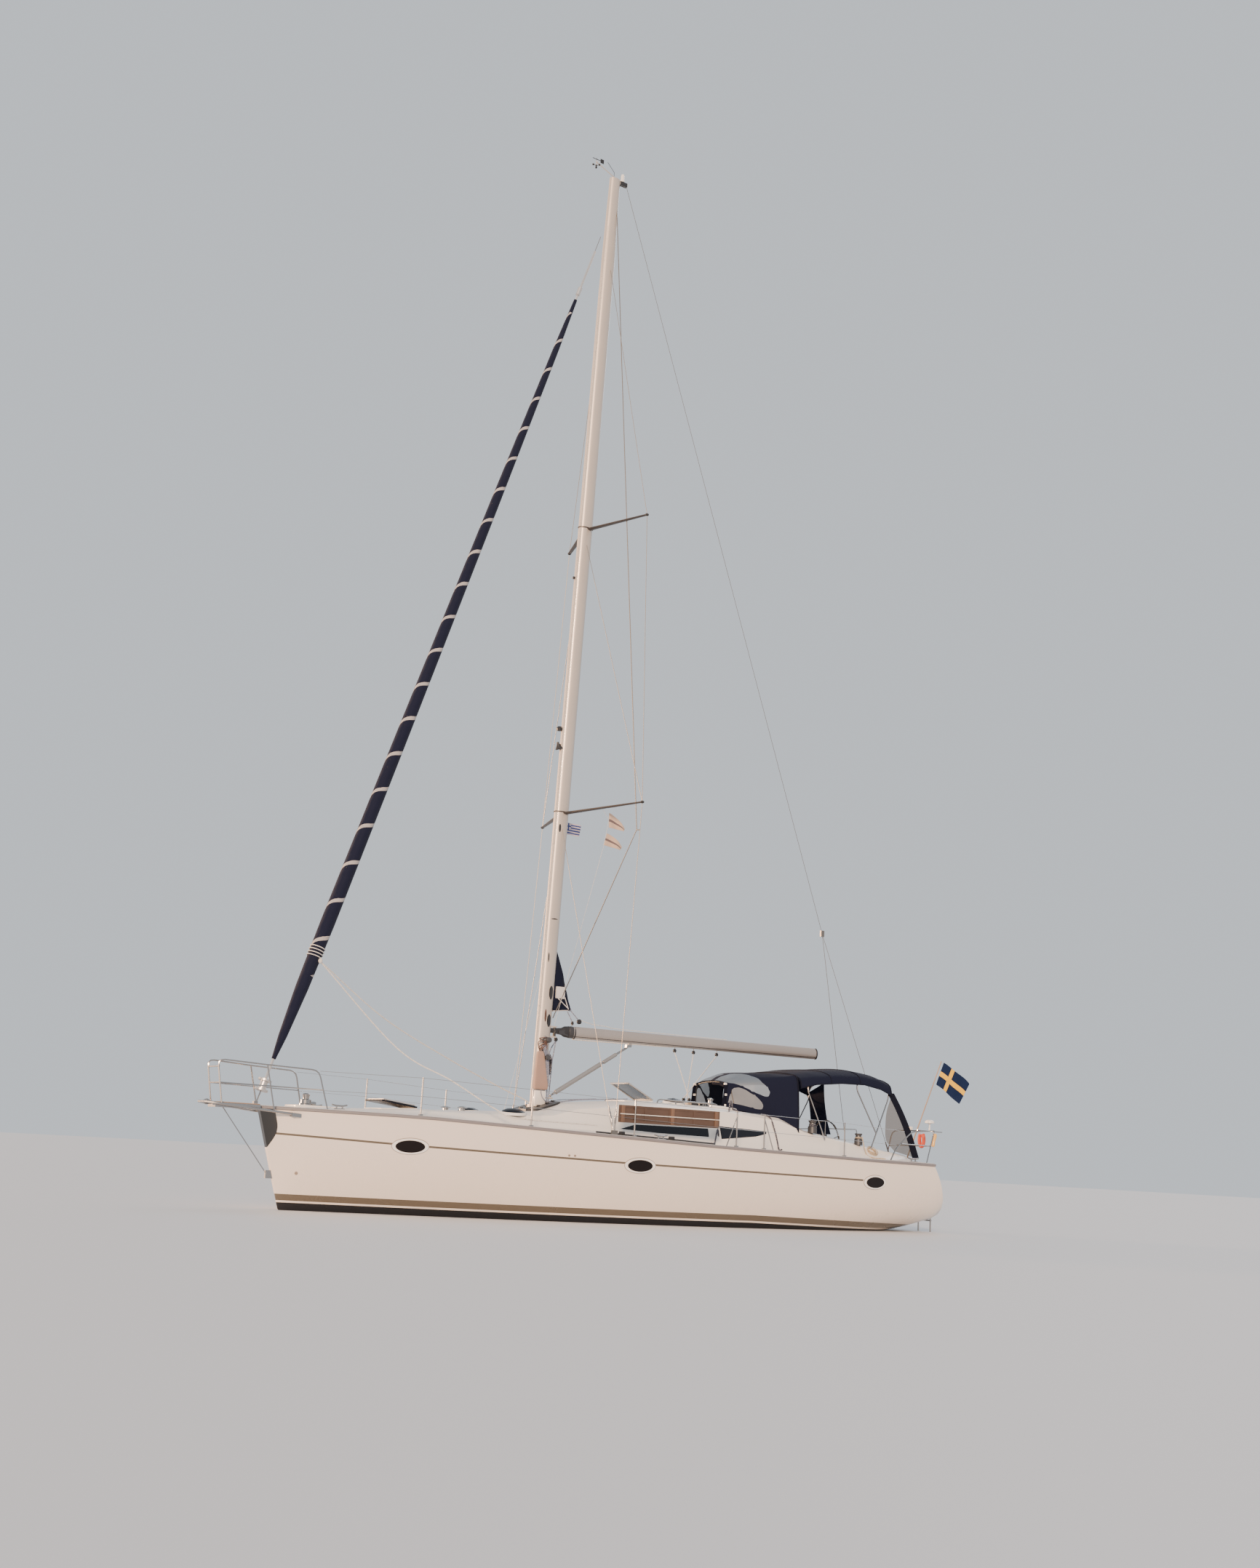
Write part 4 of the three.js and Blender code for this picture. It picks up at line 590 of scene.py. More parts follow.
@dataclass
class Palette:
    """Every finish of the boat, each made once."""

    made: dict[str, bpy.types.Material] = field(default_factory=dict)
    finishes: dict[str, object] = field(default_factory=lambda: {
        "hull": HullFinish(),
        "deck": DeckFinish(),
        "moulding": Finish("white_moulding", (0.84, 0.8, 0.76), 0.3, coat=0.3),
        "rubbing": Finish("rub_rail_grey", (0.22, 0.2, 0.205), 0.5, relief=0.001),
        "keel": Finish("keel_paint", (0.035, 0.038, 0.06), 0.7, mottle=0.15, relief=0.002),
        "bronze": Finish("bronze", (0.62, 0.42, 0.2), 0.3, 1.0),
        "engine": Finish("engine_enamel", (0.35, 0.4, 0.38), 0.45),
        "joinery": Finish("saloon_wood", (0.36, 0.2, 0.1), 0.4, mottle=0.15, coat=0.3, grain=40.0),
        "steel": Finish("polished_steel", (0.42, 0.4, 0.385), 0.22, 1.0, mottle=0.03),
        "winch": Finish("winch_drum", (0.1, 0.1, 0.105), 0.4, 0.6, mottle=0.05),
        "spreader": Finish("spreader_foil", (0.085, 0.072, 0.065), 0.45, 0.4, mottle=0.05),
        "vang": Finish("vang_tube", (0.34, 0.34, 0.34), 0.4, 0.6, grain=60.0),
        "wire": Finish("wire_strand", (0.22, 0.205, 0.19), 0.4, 0.8, grain=400.0, relief=0.001),
        "alloy": Finish("satin_alloy", (0.66, 0.64, 0.62), 0.35, 0.8),
        "dark": Finish("black_fitting", (0.022, 0.022, 0.025), 0.4, mottle=0.1),
        "white": Finish("white_plastic", (0.82, 0.8, 0.77), 0.35),
        "ring": Finish("porthole_ring", (0.93, 0.91, 0.88), 0.3, coat=0.4, mottle=0.02),
        # Painted shadow: the brown round each porthole's ring, also given to the outlets
        "seal": Finish("porthole_seal", (0.34, 0.27, 0.22), 0.6),
        "rubber": Finish("black_rubber", (0.03, 0.03, 0.03), 0.7, relief=0.001),
        "buoy": Finish("buoy_red", (0.62, 0.07, 0.03), 0.5, relief=0.001),
        "amber": Finish("lamp_amber", (0.85, 0.48, 0.12), 0.2, coat=0.5),
        "lamp": Finish("lamp_lens", (0.86, 0.82, 0.76), 0.12, coat=0.6),
        "spar": Spar(),
        # The boom's colour is painted shade: its grey-white alloy darkened to its side in shade
        "boom_spar": Spar("boom_extrusion", (0.36, 0.34, 0.33), boom=True),
        "sail": RollFinish(),
        "navy": Cloth("navy_canvas", (0.0055, 0.008, 0.024), fade=0.03, sheen=0.02),
        "binding": Cloth("navy_binding", (0.004, 0.005, 0.014), Weave.WEBBING, 0.02, 0.02),
        "bag": Cloth("sand_canvas", (0.36, 0.235, 0.185)),
        "patch": Cloth("light_patch", (0.62, 0.6, 0.6), Weave.BUNTING),
        "teak": Teak(),
        "varnish": Finish("weathered_teak", (0.42, 0.29, 0.2), 0.55, mottle=0.2, grain=60.0, relief=0.001),
        "post": Finish("plank_post_teak", (0.17, 0.1, 0.065), 0.6, mottle=0.2, grain=60.0, relief=0.001),
        "plank": Finish("plank_teak", (0.095, 0.058, 0.042), 0.6, mottle=0.2, grain=60.0, relief=0.001),
        "glazing": Vinyl("dark_acrylic", (0.006, 0.008, 0.014), roughness=0.25),
        "lens": Vinyl("porthole_acrylic", (0.007, 0.004, 0.004), roughness=0.3),
        "vinyl": Vinyl("clear_vinyl", (0.13, 0.115, 0.1), 0.75, 0.45),
        "smoke": Vinyl("smoked_pane", (0.012, 0.011, 0.012), 0.5, 0.3),
        # Clear vinyl tinted blue-grey: a painted reflection of the sky
        "sky_reflection": Vinyl("hazed_vinyl", (0.17, 0.22, 0.28), 0.85, 0.35),
        "rope_white": Rope("white_braid", (0.72, 0.68, 0.63), (0.45, 0.42, 0.4)),
        "rope_sand": Rope("sand_braid", (0.55, 0.44, 0.3), (0.35, 0.25, 0.16)),
        "rope_slate": Rope("slate_braid", (0.17, 0.19, 0.26), (0.4, 0.4, 0.44)),
        "rope_rust": Rope("rust_braid", (0.15, 0.085, 0.07), (0.07, 0.045, 0.045)),
        "rope_dark": Rope("dark_braid", (0.05, 0.05, 0.07), (0.3, 0.3, 0.32)),
        "ensign": FlagFinish("ensign_bunting", Emblem.CROSS, (0.006, 0.016, 0.055), (0.8, 0.46, 0.04)),
        "courtesy": FlagFinish("courtesy_bunting", Emblem.STRIPES, (0.5, 0.45, 0.5), (0.045, 0.07, 0.22)),
        "burgee": FlagFinish("burgee_bunting", Emblem.PLAIN, (0.6, 0.44, 0.33), (0.16, 0.12, 0.12)),
    })

    def __getitem__(self, key: str) -> bpy.types.Material:
        """The material of a finish, made when first asked for."""
        if key not in self.made:
            self.made[key] = self.finishes[key].build()
        return self.made[key]


PALETTE = Palette()
FRAME: dict[str, bpy.types.Object] = {}


# Mesh tools


def lerp_table(rows: Rows, at: float, column: int = 1) -> float:
    """Reads a table by straight lines.

    Args:
        rows: Rows with a falling or rising first column.
        at: Where to read.
        column: Which column.

    Returns:
        The value there.
    """
    ordered = sorted(rows, key=lambda row: row[0])
    if at <= ordered[0][0]:
        return ordered[0][column]
    for low, high in zip(ordered, ordered[1:]):
        if at <= high[0]:
            share = (at - low[0]) / (high[0] - low[0])
            return low[column] + (high[column] - low[column]) * share
    return ordered[-1][column]


def inside(outline: Sequence[Vector], at: Vector) -> bool:
    """Whether a point lies inside a closed outline."""
    crossings = 0
    for a, b in zip(outline, [*outline[1:], outline[0]]):
        if (a.y > at.y) != (b.y > at.y) and at.x < a.x + (b.x - a.x) * (at.y - a.y) / (b.y - a.y):
            crossings += 1
    return crossings % 2 == 1


def ellipse(middle: Point, across: Point, along: Point, count: int) -> list[Point]:
    """Points round an ellipse.

    Args:
        middle: Its middle.
        across: Its first half axis.
        along: Its second half axis.
        count: How many points.

    Returns:
        The points.
    """
    angles = (math.tau * i / count for i in range(count))
    return [tuple(m + u * math.cos(a) + v * math.sin(a) for m, u, v in zip(middle, across, along)) for a in angles]


def straight(start: Point, end: Point, count: int) -> list[Vector]:
    """Evenly spaced points from one point to another."""
    return [Vector(start).lerp(Vector(end), i / count) for i in range(count + 1)]


def smooth_path(points: Sequence[Point], steps: int = 6) -> list[Vector]:
    """A curve through points, sampled evenly in each span.

    Args:
        points: The points.
        steps: Samples for each span.

    Returns:
        The samples, with both ends.
    """
    p = [Vector(point) for point in points]
    p = [p[0] * 2 - p[1], *p, p[-1] * 2 - p[-2]]
    path = []
    for a, b, c, d in zip(p, p[1:], p[2:], p[3:]):
        for i in range(steps):
            t = i / steps
            path.append(0.5 * (2 * b + (c - a) * t + (2 * a - 5 * b + 4 * c - d) * t * t
                               + (3 * b - a - 3 * c + d) * t ** 3))
    return [*path, p[-2]]


def new_verts(grown: dict[str, list]) -> list[bmesh.types.BMVert]:
    """The vertices that an extrusion made."""
    return [g for g in grown["geom"] if isinstance(g, bmesh.types.BMVert)]


def scaled(radius: float, profile: Profile) -> Profile:
    """A profile whose radii are given as shares of one radius."""
    return [(radius * share, height) for share, height in profile]


class Shape:
    def __init__(self) -> None:
        """Starts with an empty mesh."""
        self.bm = bmesh.new()

    def merge(self, part: bmesh.types.BMesh) -> "Shape":
        """Copies another mesh in and frees it."""
        scratch = bpy.data.meshes.new("scratch")
        part.to_mesh(scratch)
        part.free()
        self.bm.from_mesh(scratch)
        bpy.data.meshes.remove(scratch)
        return self

    def moved(self, matrix: Matrix) -> "Shape":
        """Moves all that is there."""
        bmesh.ops.transform(self.bm, matrix=matrix, verts=self.bm.verts)
        return self

    def box(self, low: Point, high: Point, bevel: float = 0.004) -> "Shape":
        """Adds a box with rounded edges.

        Args:
            low: Its lowest corner.
            high: Its highest corner.
            bevel: The radius of its edges.

        Returns:
            The shape.
        """
        part = bmesh.new()
        bmesh.ops.create_cube(part, size=1.0)
        size = [h - l for l, h in zip(low, high)]
        bmesh.ops.scale(part, vec=size, verts=part.verts)
        bmesh.ops.translate(part, vec=[(h + l) / 2 for l, h in zip(low, high)], verts=part.verts)
        bmesh.ops.bevel(part, geom=part.edges, offset=min(bevel, min(size) * 0.45), segments=2, profile=0.5,
                        affect="EDGES", material=-1)
        return self.merge(part)

    def pad(self, at: Point, halves: Point2, heights: Point2, bevel: float) -> "Shape":
        """Adds a box round a point, by its half sizes in x and y and its lowest and highest height over the point."""
        (x, y, z), (dx, dy), (low, high) = at, halves, heights
        return self.box((x - dx, y - dy, z + low), (x + dx, y + dy, z + high), bevel)

    def turned(self, profile: Profile, at: Point, direction: Point = UP, sides: int = 24) -> "Shape":
        """Adds a body turned about an axis.

        Args:
            profile: Its radii and heights, from one end on the axis to the other.
            at: Where the axis starts.
            direction: The axis.
            sides: Steps round it.

        Returns:
            The shape.
        """
        part = bmesh.new()
        verts = [part.verts.new((radius, 0, height)) for radius, height in profile]
        edges = [part.edges.new(pair) for pair in zip(verts, verts[1:])]
        bmesh.ops.spin(part, geom=verts + edges, cent=(0, 0, 0), axis=UP, angle=math.tau, steps=sides, use_merge=True)
        bmesh.ops.remove_doubles(part, verts=part.verts, dist=1e-5)
        turn = Vector(direction).to_track_quat("Z", "Y").to_matrix().to_4x4()
        bmesh.ops.transform(part, matrix=Matrix.Translation(Vector(at)) @ turn, verts=part.verts)
        return self.merge(part)

    def curve(self, points: Sequence[Point], radius: float, sides: int = 6, steps: int = 6) -> "Shape":
        """Adds a tube along a smooth curve through points."""
        return self.tube(smooth_path(points, steps), radius, sides)

    def tube(self, path: Sequence[Point], radius: float, sides: int = 6, closed: bool = False) -> "Shape":
        """Adds a tube along a path, by extruding a circle.

        Args:
            path: The points it follows.
            radius: Its radius.
            sides: Sides round it.
            closed: Whether it returns to its start.

        Returns:
            The shape.
        """
        points = [Vector(point) for point in path]
        part = bmesh.new()
        last = len(points) - 1
        current = bmesh.ops.create_circle(part, cap_ends=not closed, segments=sides, radius=radius)["verts"]
        local = [vert.co.copy() for vert in current]
        frame = None
        rings = []
        for i, point in enumerate(points):
            ahead = points[(i + 1) % len(points)] if closed else points[min(i + 1, last)]
            back = points[i - 1] if closed else points[max(i - 1, 0)]
            tangent = (ahead - back).normalized()
            if frame is None:
                frame = tangent.to_track_quat("Z", "Y")
            else:
                frame = (frame @ Vector((0, 0, 1))).rotation_difference(tangent) @ frame
                current = self.grown_ring(part, current)
            for vert, place in zip(current, local):
                vert.co = point + frame @ place
            rings.append(current)
        if closed:
            edges = [edge for ring in (set(rings[0]), set(rings[-1])) for edge in part.edges
                     if all(vert in ring for vert in edge.verts)]
            bmesh.ops.bridge_loops(part, edges=edges)
        else:
            part.faces.new(rings[-1])
        return self.merge(part)

    def grown_ring(self, part: bmesh.types.BMesh, ring: list[bmesh.types.BMVert]) -> list[bmesh.types.BMVert]:
        """Extrudes a ring of vertices and returns the new ring in the same order."""
        old = set(ring)
        edges = [edge for edge in part.edges if all(vert in old for vert in edge.verts)]
        order = {}
        for vert in new_verts(bmesh.ops.extrude_edge_only(part, edges=edges)):
            for edge in vert.link_edges:
                other = edge.other_vert(vert)
                if other in old:
                    order[ring.index(other)] = vert
        return [order[k] for k in range(len(ring))]

    def ball(self, at: Point, radius: float, squash: float = 1.0) -> "Shape":
        """Adds a ball, flattened along z by a share."""
        turn = Matrix.Translation(Vector(at)) @ Matrix.Diagonal((1, 1, squash, 1))
        bmesh.ops.create_uvsphere(self.bm, u_segments=16, v_segments=10, radius=radius, matrix=turn)
        return self

    def line(self, points: Iterable[Point]) -> list[bmesh.types.BMEdge]:
        """Adds bare edges along points, for surfaces that are bridged between lines."""
        verts = [self.bm.verts.new(point) for point in points]
        return [self.bm.edges.new(pair) for pair in zip(verts, verts[1:])]

    def finish(self, name: str, key: str, body: str | None = "root", slot: str | None = None,
               sharp: float = 35.0, fix_normals: bool = True) -> bpy.types.Object:
        """Makes the piece.

        Args:
            name: The piece's name.
            key: Its finish.
            body: The CAD body it rides on, or None for a piece left on no body.
            slot: The record's material slot; not used.
            sharp: Edges sharper than this angle stay sharp.
            fix_normals: Whether its faces are turned outwards.

        Returns:
            The piece.
        """
        if fix_normals:
            bmesh.ops.recalc_face_normals(self.bm, faces=self.bm.faces)
        limit = math.radians(sharp)
        for face in self.bm.faces:
            face.smooth = True
        for edge in self.bm.edges:
            if len(edge.link_faces) == 2 and edge.calc_face_angle(0.0) > limit:
                edge.smooth = False
        mesh = bpy.data.meshes.new(name)
        self.bm.to_mesh(mesh)
        self.bm.free()
        mesh.materials.append(PALETTE[key])
        piece = bpy.data.objects.new(name, mesh)
        bpy.context.scene.collection.objects.link(piece)
        if body:
            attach(piece, body)
        return piece


def soften(piece: bpy.types.Object, name: str, levels: int) -> None:
    """Adds a subdivision with the same levels in view and render."""
    modifier = piece.modifiers.new(name, "SUBSURF")
    modifier.levels = modifier.render_levels = levels


def thicken(piece: bpy.types.Object, thickness: float, levels: int = 1) -> float:
    """Gives a cloth its thickness, smooths it and returns its area."""
    solid = piece.modifiers.new("cloth", "SOLIDIFY")
    solid.thickness = thickness
    solid.offset = 0.0
    if levels:
        soften(piece, "smooth", levels)
    return surface(piece)


def surface(piece: bpy.types.Object) -> float:
    """The area of a piece's faces."""
    return sum(face.area for face in piece.data.polygons)


def node_copy(name: str, node: str, key: str, slot: str | None = None, sharp: float = 32.0,
              bevel: float = 0.0, levels: int = 0) -> bpy.types.Object:
    """Makes a merged, smoothly shaded copy that stands for a CAD node.

    Args:
        name: The piece's name.
        node: The CAD node.
        key: Its finish.
        slot: The record's material slot.
        sharp: Edges sharper than this angle stay sharp.
        bevel: Radius of a live bevel on sharp edges.
        levels: Subdivision levels.

    Returns:
        The piece.
    """
    source = FRAME[node]
    shape = Shape()
    shape.bm.from_mesh(source.data)
    bmesh.ops.remove_doubles(shape.bm, verts=shape.bm.verts, dist=2e-5)
    piece = shape.finish(name, key, source["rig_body"], slot, sharp, fix_normals=False)
    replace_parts(piece, node)
    if bevel:
        modifier = piece.modifiers.new("edge_round", "BEVEL")
        modifier.width = bevel
        modifier.segments = 2
        modifier.limit_method = "ANGLE"
        modifier.angle_limit = math.radians(sharp)
        modifier.use_clamp_overlap = True
    if levels:
        soften(piece, "smooth", levels)
    return piece


class Skin:
    """Finds points on the surface of CAD nodes, so that fittings sit on what carries them."""

    def __init__(self, *nodes: str) -> None:
        """Builds a search tree over the named CAD nodes."""
        bm = bmesh.new()
        for node in nodes:
            bm.from_mesh(FRAME[node].data)
        self.tree = BVHTree.FromBMesh(bm)
        bm.free()

    def hit(self, start: Point, ray: Point) -> tuple[Vector, Vector]:
        """The first point along a ray.

        Args:
            start: Where the ray starts.
            ray: Its direction.

        Returns:
            The point and the surface's normal, turned against the ray.
        """
        place, normal, _, _ = self.tree.ray_cast(Vector(start), Vector(ray).normalized())
        if place is None:
            raise ValueError(f"no surface from {tuple(start)} along {tuple(ray)}")
        return place, (-normal if normal.dot(Vector(ray)) > 0 else normal)

    def side(self, x: float, z: float, side: Side) -> tuple[Vector, Vector]:
        """The point on the boat's side at x and z, with its normal."""
        return self.hit((x, side.value * 4.0, z), (0, -side.value, 0))

    def top(self, x: float, y: float, lift: float = 0.0, high: float = 2.3) -> Vector:
        """The point on top at x and y, lifted a little."""
        return self.hit((x, y, high), (0, 0, -1))[0] + Vector((0, 0, lift))


# The boat's bare parts

# Each row: piece, CAD node, finish, slot, sharp angle, bevel
STRUCTURE: Rows = (
    ("hull_shell", "hull", "hull", "gelcoat", 32.0, 0.004),
    ("deck_moulding", "deck", "deck", "gelcoat", 28.0, 0.01),
    ("gunwale_strip", "rub_rail", "rubbing", "rub_rail", 40.0),
    ("keel_fin", "keel", "keel", "underwater_paint", 40.0),
    ("rudder_spade", "rudder", "keel", "rudder_skin", 40.0),
    ("drive_leg", "saildrive", "keel", "underwater_paint", 40.0),
    ("screw", "propeller", "bronze", "propeller_bronze", 40.0),
    ("engine_block", "engine", "engine", "engine_paint", 30.0, 0.02),
    ("saloon_furniture", "saloon_joinery", "joinery", "cabin_wood", 30.0, 0.006),
    ("entry_steps", "companionway_steps", "joinery", "cabin_wood", 30.0, 0.006),
    *((f"coachroof_pane_{place}", f"window_{place}", "glazing", "glazing", 20.0)
      for place in ("port_fwd", "port_aft", "stbd_fwd", "stbd_aft")),
)
RIG: Rows = (
    ("mast_tube", "mast", "spar", "spar_alloy", 40.0, 0.003),
    ("boom_tube", "boom", "boom_spar", "spar_alloy", 40.0, 0.004),
    ("gooseneck_joint", "gooseneck", "dark", "dark_fittings", 40.0, 0.003),
    ("vang_ball", "vang_swivel", "steel", "stainless", 40.0),
    ("vang_barrel_tube", "vang_cylinder", "vang", "spar_alloy", 40.0, 0.002),
    ("vang_strut_tube", "vang_rod", "steel", "stainless", 40.0, 0.002),
    *((f"spreader_{a}_{side}", f"spreader_{b}_{side}", "spreader", "spar_alloy", 50.0)
      for a, b in (("low", "lower"), ("high", "upper")) for side in ("port", "stbd")),
    ("vane_arrow", "wind_vane", "dark", "dark_fittings", 40.0),
    ("vane_cups", "wind_cups", "dark", "dark_fittings", 50.0),
    *((f"side_shrouds_{side}", f"shrouds_{side}", "wire", "stainless", 50.0) for side in ("port", "stbd")),
    ("split_backstay", "backstay", "wire", "stainless", 50.0),
    ("furler_drum", "furler_foil", "alloy", "dark_fittings", 40.0, 0.002),
    ("forestay_toggle", "forestay_foot", "steel", "stainless", 40.0),
    ("forestay_tang", "forestay_head", "wire", "stainless", 50.0),
)
RAILS: Rows = (
    *((piece, node, "steel", "stainless", 50.0) for piece, node in (
        ("bow_platform", "bowsprit"), ("bow_pulpit", "pulpit"), ("lifelines_port", "guardrail_port"),
        ("lifelines_stbd", "guardrail_stbd"), ("stern_rail_port", "pushpit_port"),
        ("stern_rail_stbd", "pushpit_stbd"), ("canopy_bow_fore", "bimini_bow_fore"),
        ("canopy_bow_aft", "bimini_bow_aft"), ("bathing_ladder", "stern_ladder"))),
    ("boarding_plank", "gangplank", "plank", "teak", 50.0),
    ("ensign_staff", "flagstaff", "varnish", "teak", 50.0),
)


def dress(rows: Rows) -> None:
    """Makes the finished copies of a table's CAD nodes."""
    for row in rows:
        node_copy(*row)
        log.info("made %s", row[0])


@dataclass
class Portholes:
    """Oval ports along the topsides, each a painted shadow just larger than the ring, a white ring and a dark lens."""

    skin: Skin
    # Each row: x, z, length, height
    rows: Rows = ((4.3, 1.085, 0.55, 0.245), (0.466, 0.97, 0.56, 0.245), (-4.6, 0.884, 0.55, 0.245))
    # Each row: layer, how much longer and higher than the ring, how proud of the hull, rise of its middle
    # The first layer is a painted shadow round the ring
    layers: Rows = (("seal", 0.02, 0.02, 0.003, 0.001), ("ring", 0.0, 0.0, 0.01, 0.008),
                    ("lens", -0.11, -0.055, 0.02, 0.003))
    steps: int = 40

    def build(self) -> None:
        """Makes the six ports."""
        for side in Side:
            for i, (x, z, length, height) in enumerate(self.rows):
                for layer, longer, higher, proud, rise in self.layers:
                    shape = self.plate(side, (x, z), (length + longer, height + higher), proud, rise)
                    shape.finish(f"port_{layer}_{side.label}_{i + 1}", layer, sharp=40.0)

    def plate(self, side: Side, at: Point2, size: Point2, proud: float, rise: float) -> Shape:
        """Makes an oval plate that lies on the hull's side.

        Args:
            side: The boat's side.
            at: Its middle's x and z.
            size: Its length and height.
            proud: How far it stands off the hull.
            rise: How far its middle stands out more.

        Returns:
            The plate.
        """
        shape = Shape()
        bm = shape.bm
        middle, along, high = (at[0], 0, at[1]), (size[0] / 2, 0, 0), (0, 0, size[1] / 2)
        outline = [bm.verts.new(point) for point in ellipse(middle, along, high, self.steps)]
        bmesh.ops.contextual_create(bm, geom=outline)
        bmesh.ops.inset_region(bm, faces=bm.faces[:], thickness=min(size) * 0.12)
        bmesh.ops.inset_region(bm, faces=[max(bm.faces, key=lambda f: len(f.verts))], thickness=min(size) * 0.14)
        for vert in bm.verts:
            place, normal = self.skin.side(vert.co.x, vert.co.z, side)
            vert.co = place + normal * (proud if vert in outline else proud + rise)
        for vert in new_verts(bmesh.ops.extrude_face_region(bm, geom=bm.faces[:])):
            vert.co.y -= side.value * (proud + rise + 0.006)
        return shape


@dataclass
class HullFittings:
    """Outlets through the topsides and cleats on the deck."""

    hull: Skin
    deck: Skin
    # Each row: x, z, radius
    outlets: Rows = ((1.75, 1.075, 0.018), (1.65, 1.075, 0.018), (5.87, 0.58, 0.026))
    outlet: Profile = ((0, 0.004), (0.55, 0.004), (0.6, 0.01), (1, 0.008), (1, -0.004), (0, -0.004))
    cleats: Profile = ((5.35, 0.5), (0.05, 1.83), (-5.8, 1.7))
    cleat_half: float = 0.13

    def build(self) -> None:
        """Makes the fittings."""
        for side in Side:
            outlets = Shape()
            for x, z, radius in self.outlets:
                outlets.turned(scaled(radius, self.outlet), *self.hull.side(x, z, side), 18)
            # The outlets take the porthole's painted-shadow brown
            outlets.finish(f"outlets_{side.label}", "seal")
            cleats = Shape()
            for x, y in self.cleats:
                self.cleat(cleats, self.deck.top(x, side.value * y))
            cleats.finish(f"cleats_{side.label}", "steel")

    def cleat(self, shape: Shape, place: Vector) -> None:
        """Adds one horned cleat."""
        x, y, z = place
        half = self.cleat_half
        horn = ((-half, 0.066), (-half / 2, 0.054), (0, 0.052), (half / 2, 0.054), (half, 0.066))
        shape.curve([(x + dx, y, z + dz) for dx, dz in horn], 0.013, 8, 4)
        for offset in (-0.05, 0.05):
            shape.tube([(x + offset, y, z - 0.004), (x + offset, y, z + 0.052)], 0.013, 8)
        shape.pad(place, (0.085, 0.028), (-0.004, 0.008), 0.003)


def hatch_ring(name: str, skin: Skin, x: float, y: float, radius: float) -> None:
    """Makes a round opening hatch with a white rim and a dark domed pane.

    Args:
        name: The start of its pieces' names.
        skin: The deck's surface.
        x: Its place fore and aft.
        y: Its place across.
        radius: Its radius.
    """
    at = skin.hit((x, y, 2.3), (0, 0, -1))
    rim = ((0.8, 0.012), (0.86, 0.032), (0.96, 0.034), (1, 0.022), (1, -0.012), (0.8, -0.012), (0.8, 0.012))
    Shape().turned(scaled(radius, rim), *at, 32).finish(f"{name}_rim", "white")
    pane = ((0, 0.098), (0.5, 0.084), (0.8, 0.054), (0.88, 0.034), (0.88, 0.004), (0, 0.004))
    Shape().turned(scaled(radius, pane), *at, 32).finish(f"{name}_pane", "glazing")


@dataclass
class Foredeck:
    """What stands on the deck ahead of the mast."""

    skin: Skin
    round_hatches: Rows = ((2.35, 0.8, 0.225), (2.35, -0.8, 0.225))
    vents: Profile = ((3.05, 0.3), (3.05, -0.3))
    vent: Profile = ((0, 0.075), (0.05, 0.072), (0.085, 0.055), (0.088, 0.045), (0.045, 0.04), (0.045, -0.01),
                     (0, -0.01))
    drum: Profile = ((0, 0.19), (0.045, 0.19), (0.062, 0.17), (0.05, 0.12), (0.05, 0.1), (0.088, 0.085),
                     (0.088, 0.03), (0.11, 0.02), (0.11, 0.0), (0, 0.0))
    windlass: Point2 = (5.62, 0.0)
    track: tuple[float, ...] = (1.2, 0.7, 0.2, -0.3, -0.8, -1.2)

    def build(self) -> None:
        """Makes hatches, vents, windlass and the lead rails along the side decks."""
        for i, (x, y, radius) in enumerate(self.round_hatches):
            hatch_ring(f"round_hatch_{i + 1}", self.skin, x, y, radius)
        vents = Shape()
        for x, y in self.vents:
            vents.turned(self.vent, self.skin.top(x, y), UP, 20)
        vents.finish("mushroom_vents", "steel")
        z = self.skin.top(*self.windlass).z
        lid = Shape().box((5.1, -0.23, z - 0.02), (5.98, 0.23, z + 0.022), 0.012)
        lid.finish("locker_lid", "moulding", slot="gelcoat")
        drum = Shape().turned(self.drum, (5.72, 0.0, z + 0.022))
        drum.box((5.56, -0.07, z + 0.022), (5.72, 0.07, z + 0.085), 0.02).finish("windlass", "steel")
        for side in Side:
            path = [self.skin.top(x, side.value * (1.6 + 0.03 * (1.2 - x)), 0.014) for x in self.track]
            shape = Shape().tube(path, 0.016)
            for at in (path[1], path[3]):
                shape.pad(at, (0.05, 0.03), (-0.004, 0.05), 0.012)
            shape.finish(f"sheet_track_{side.label}", "dark")


# Rig


class Lamp(Enum):
    """A lamp's form: round, or a shade that shines down."""

    BALL = "ball"
    SHADE = "shade"


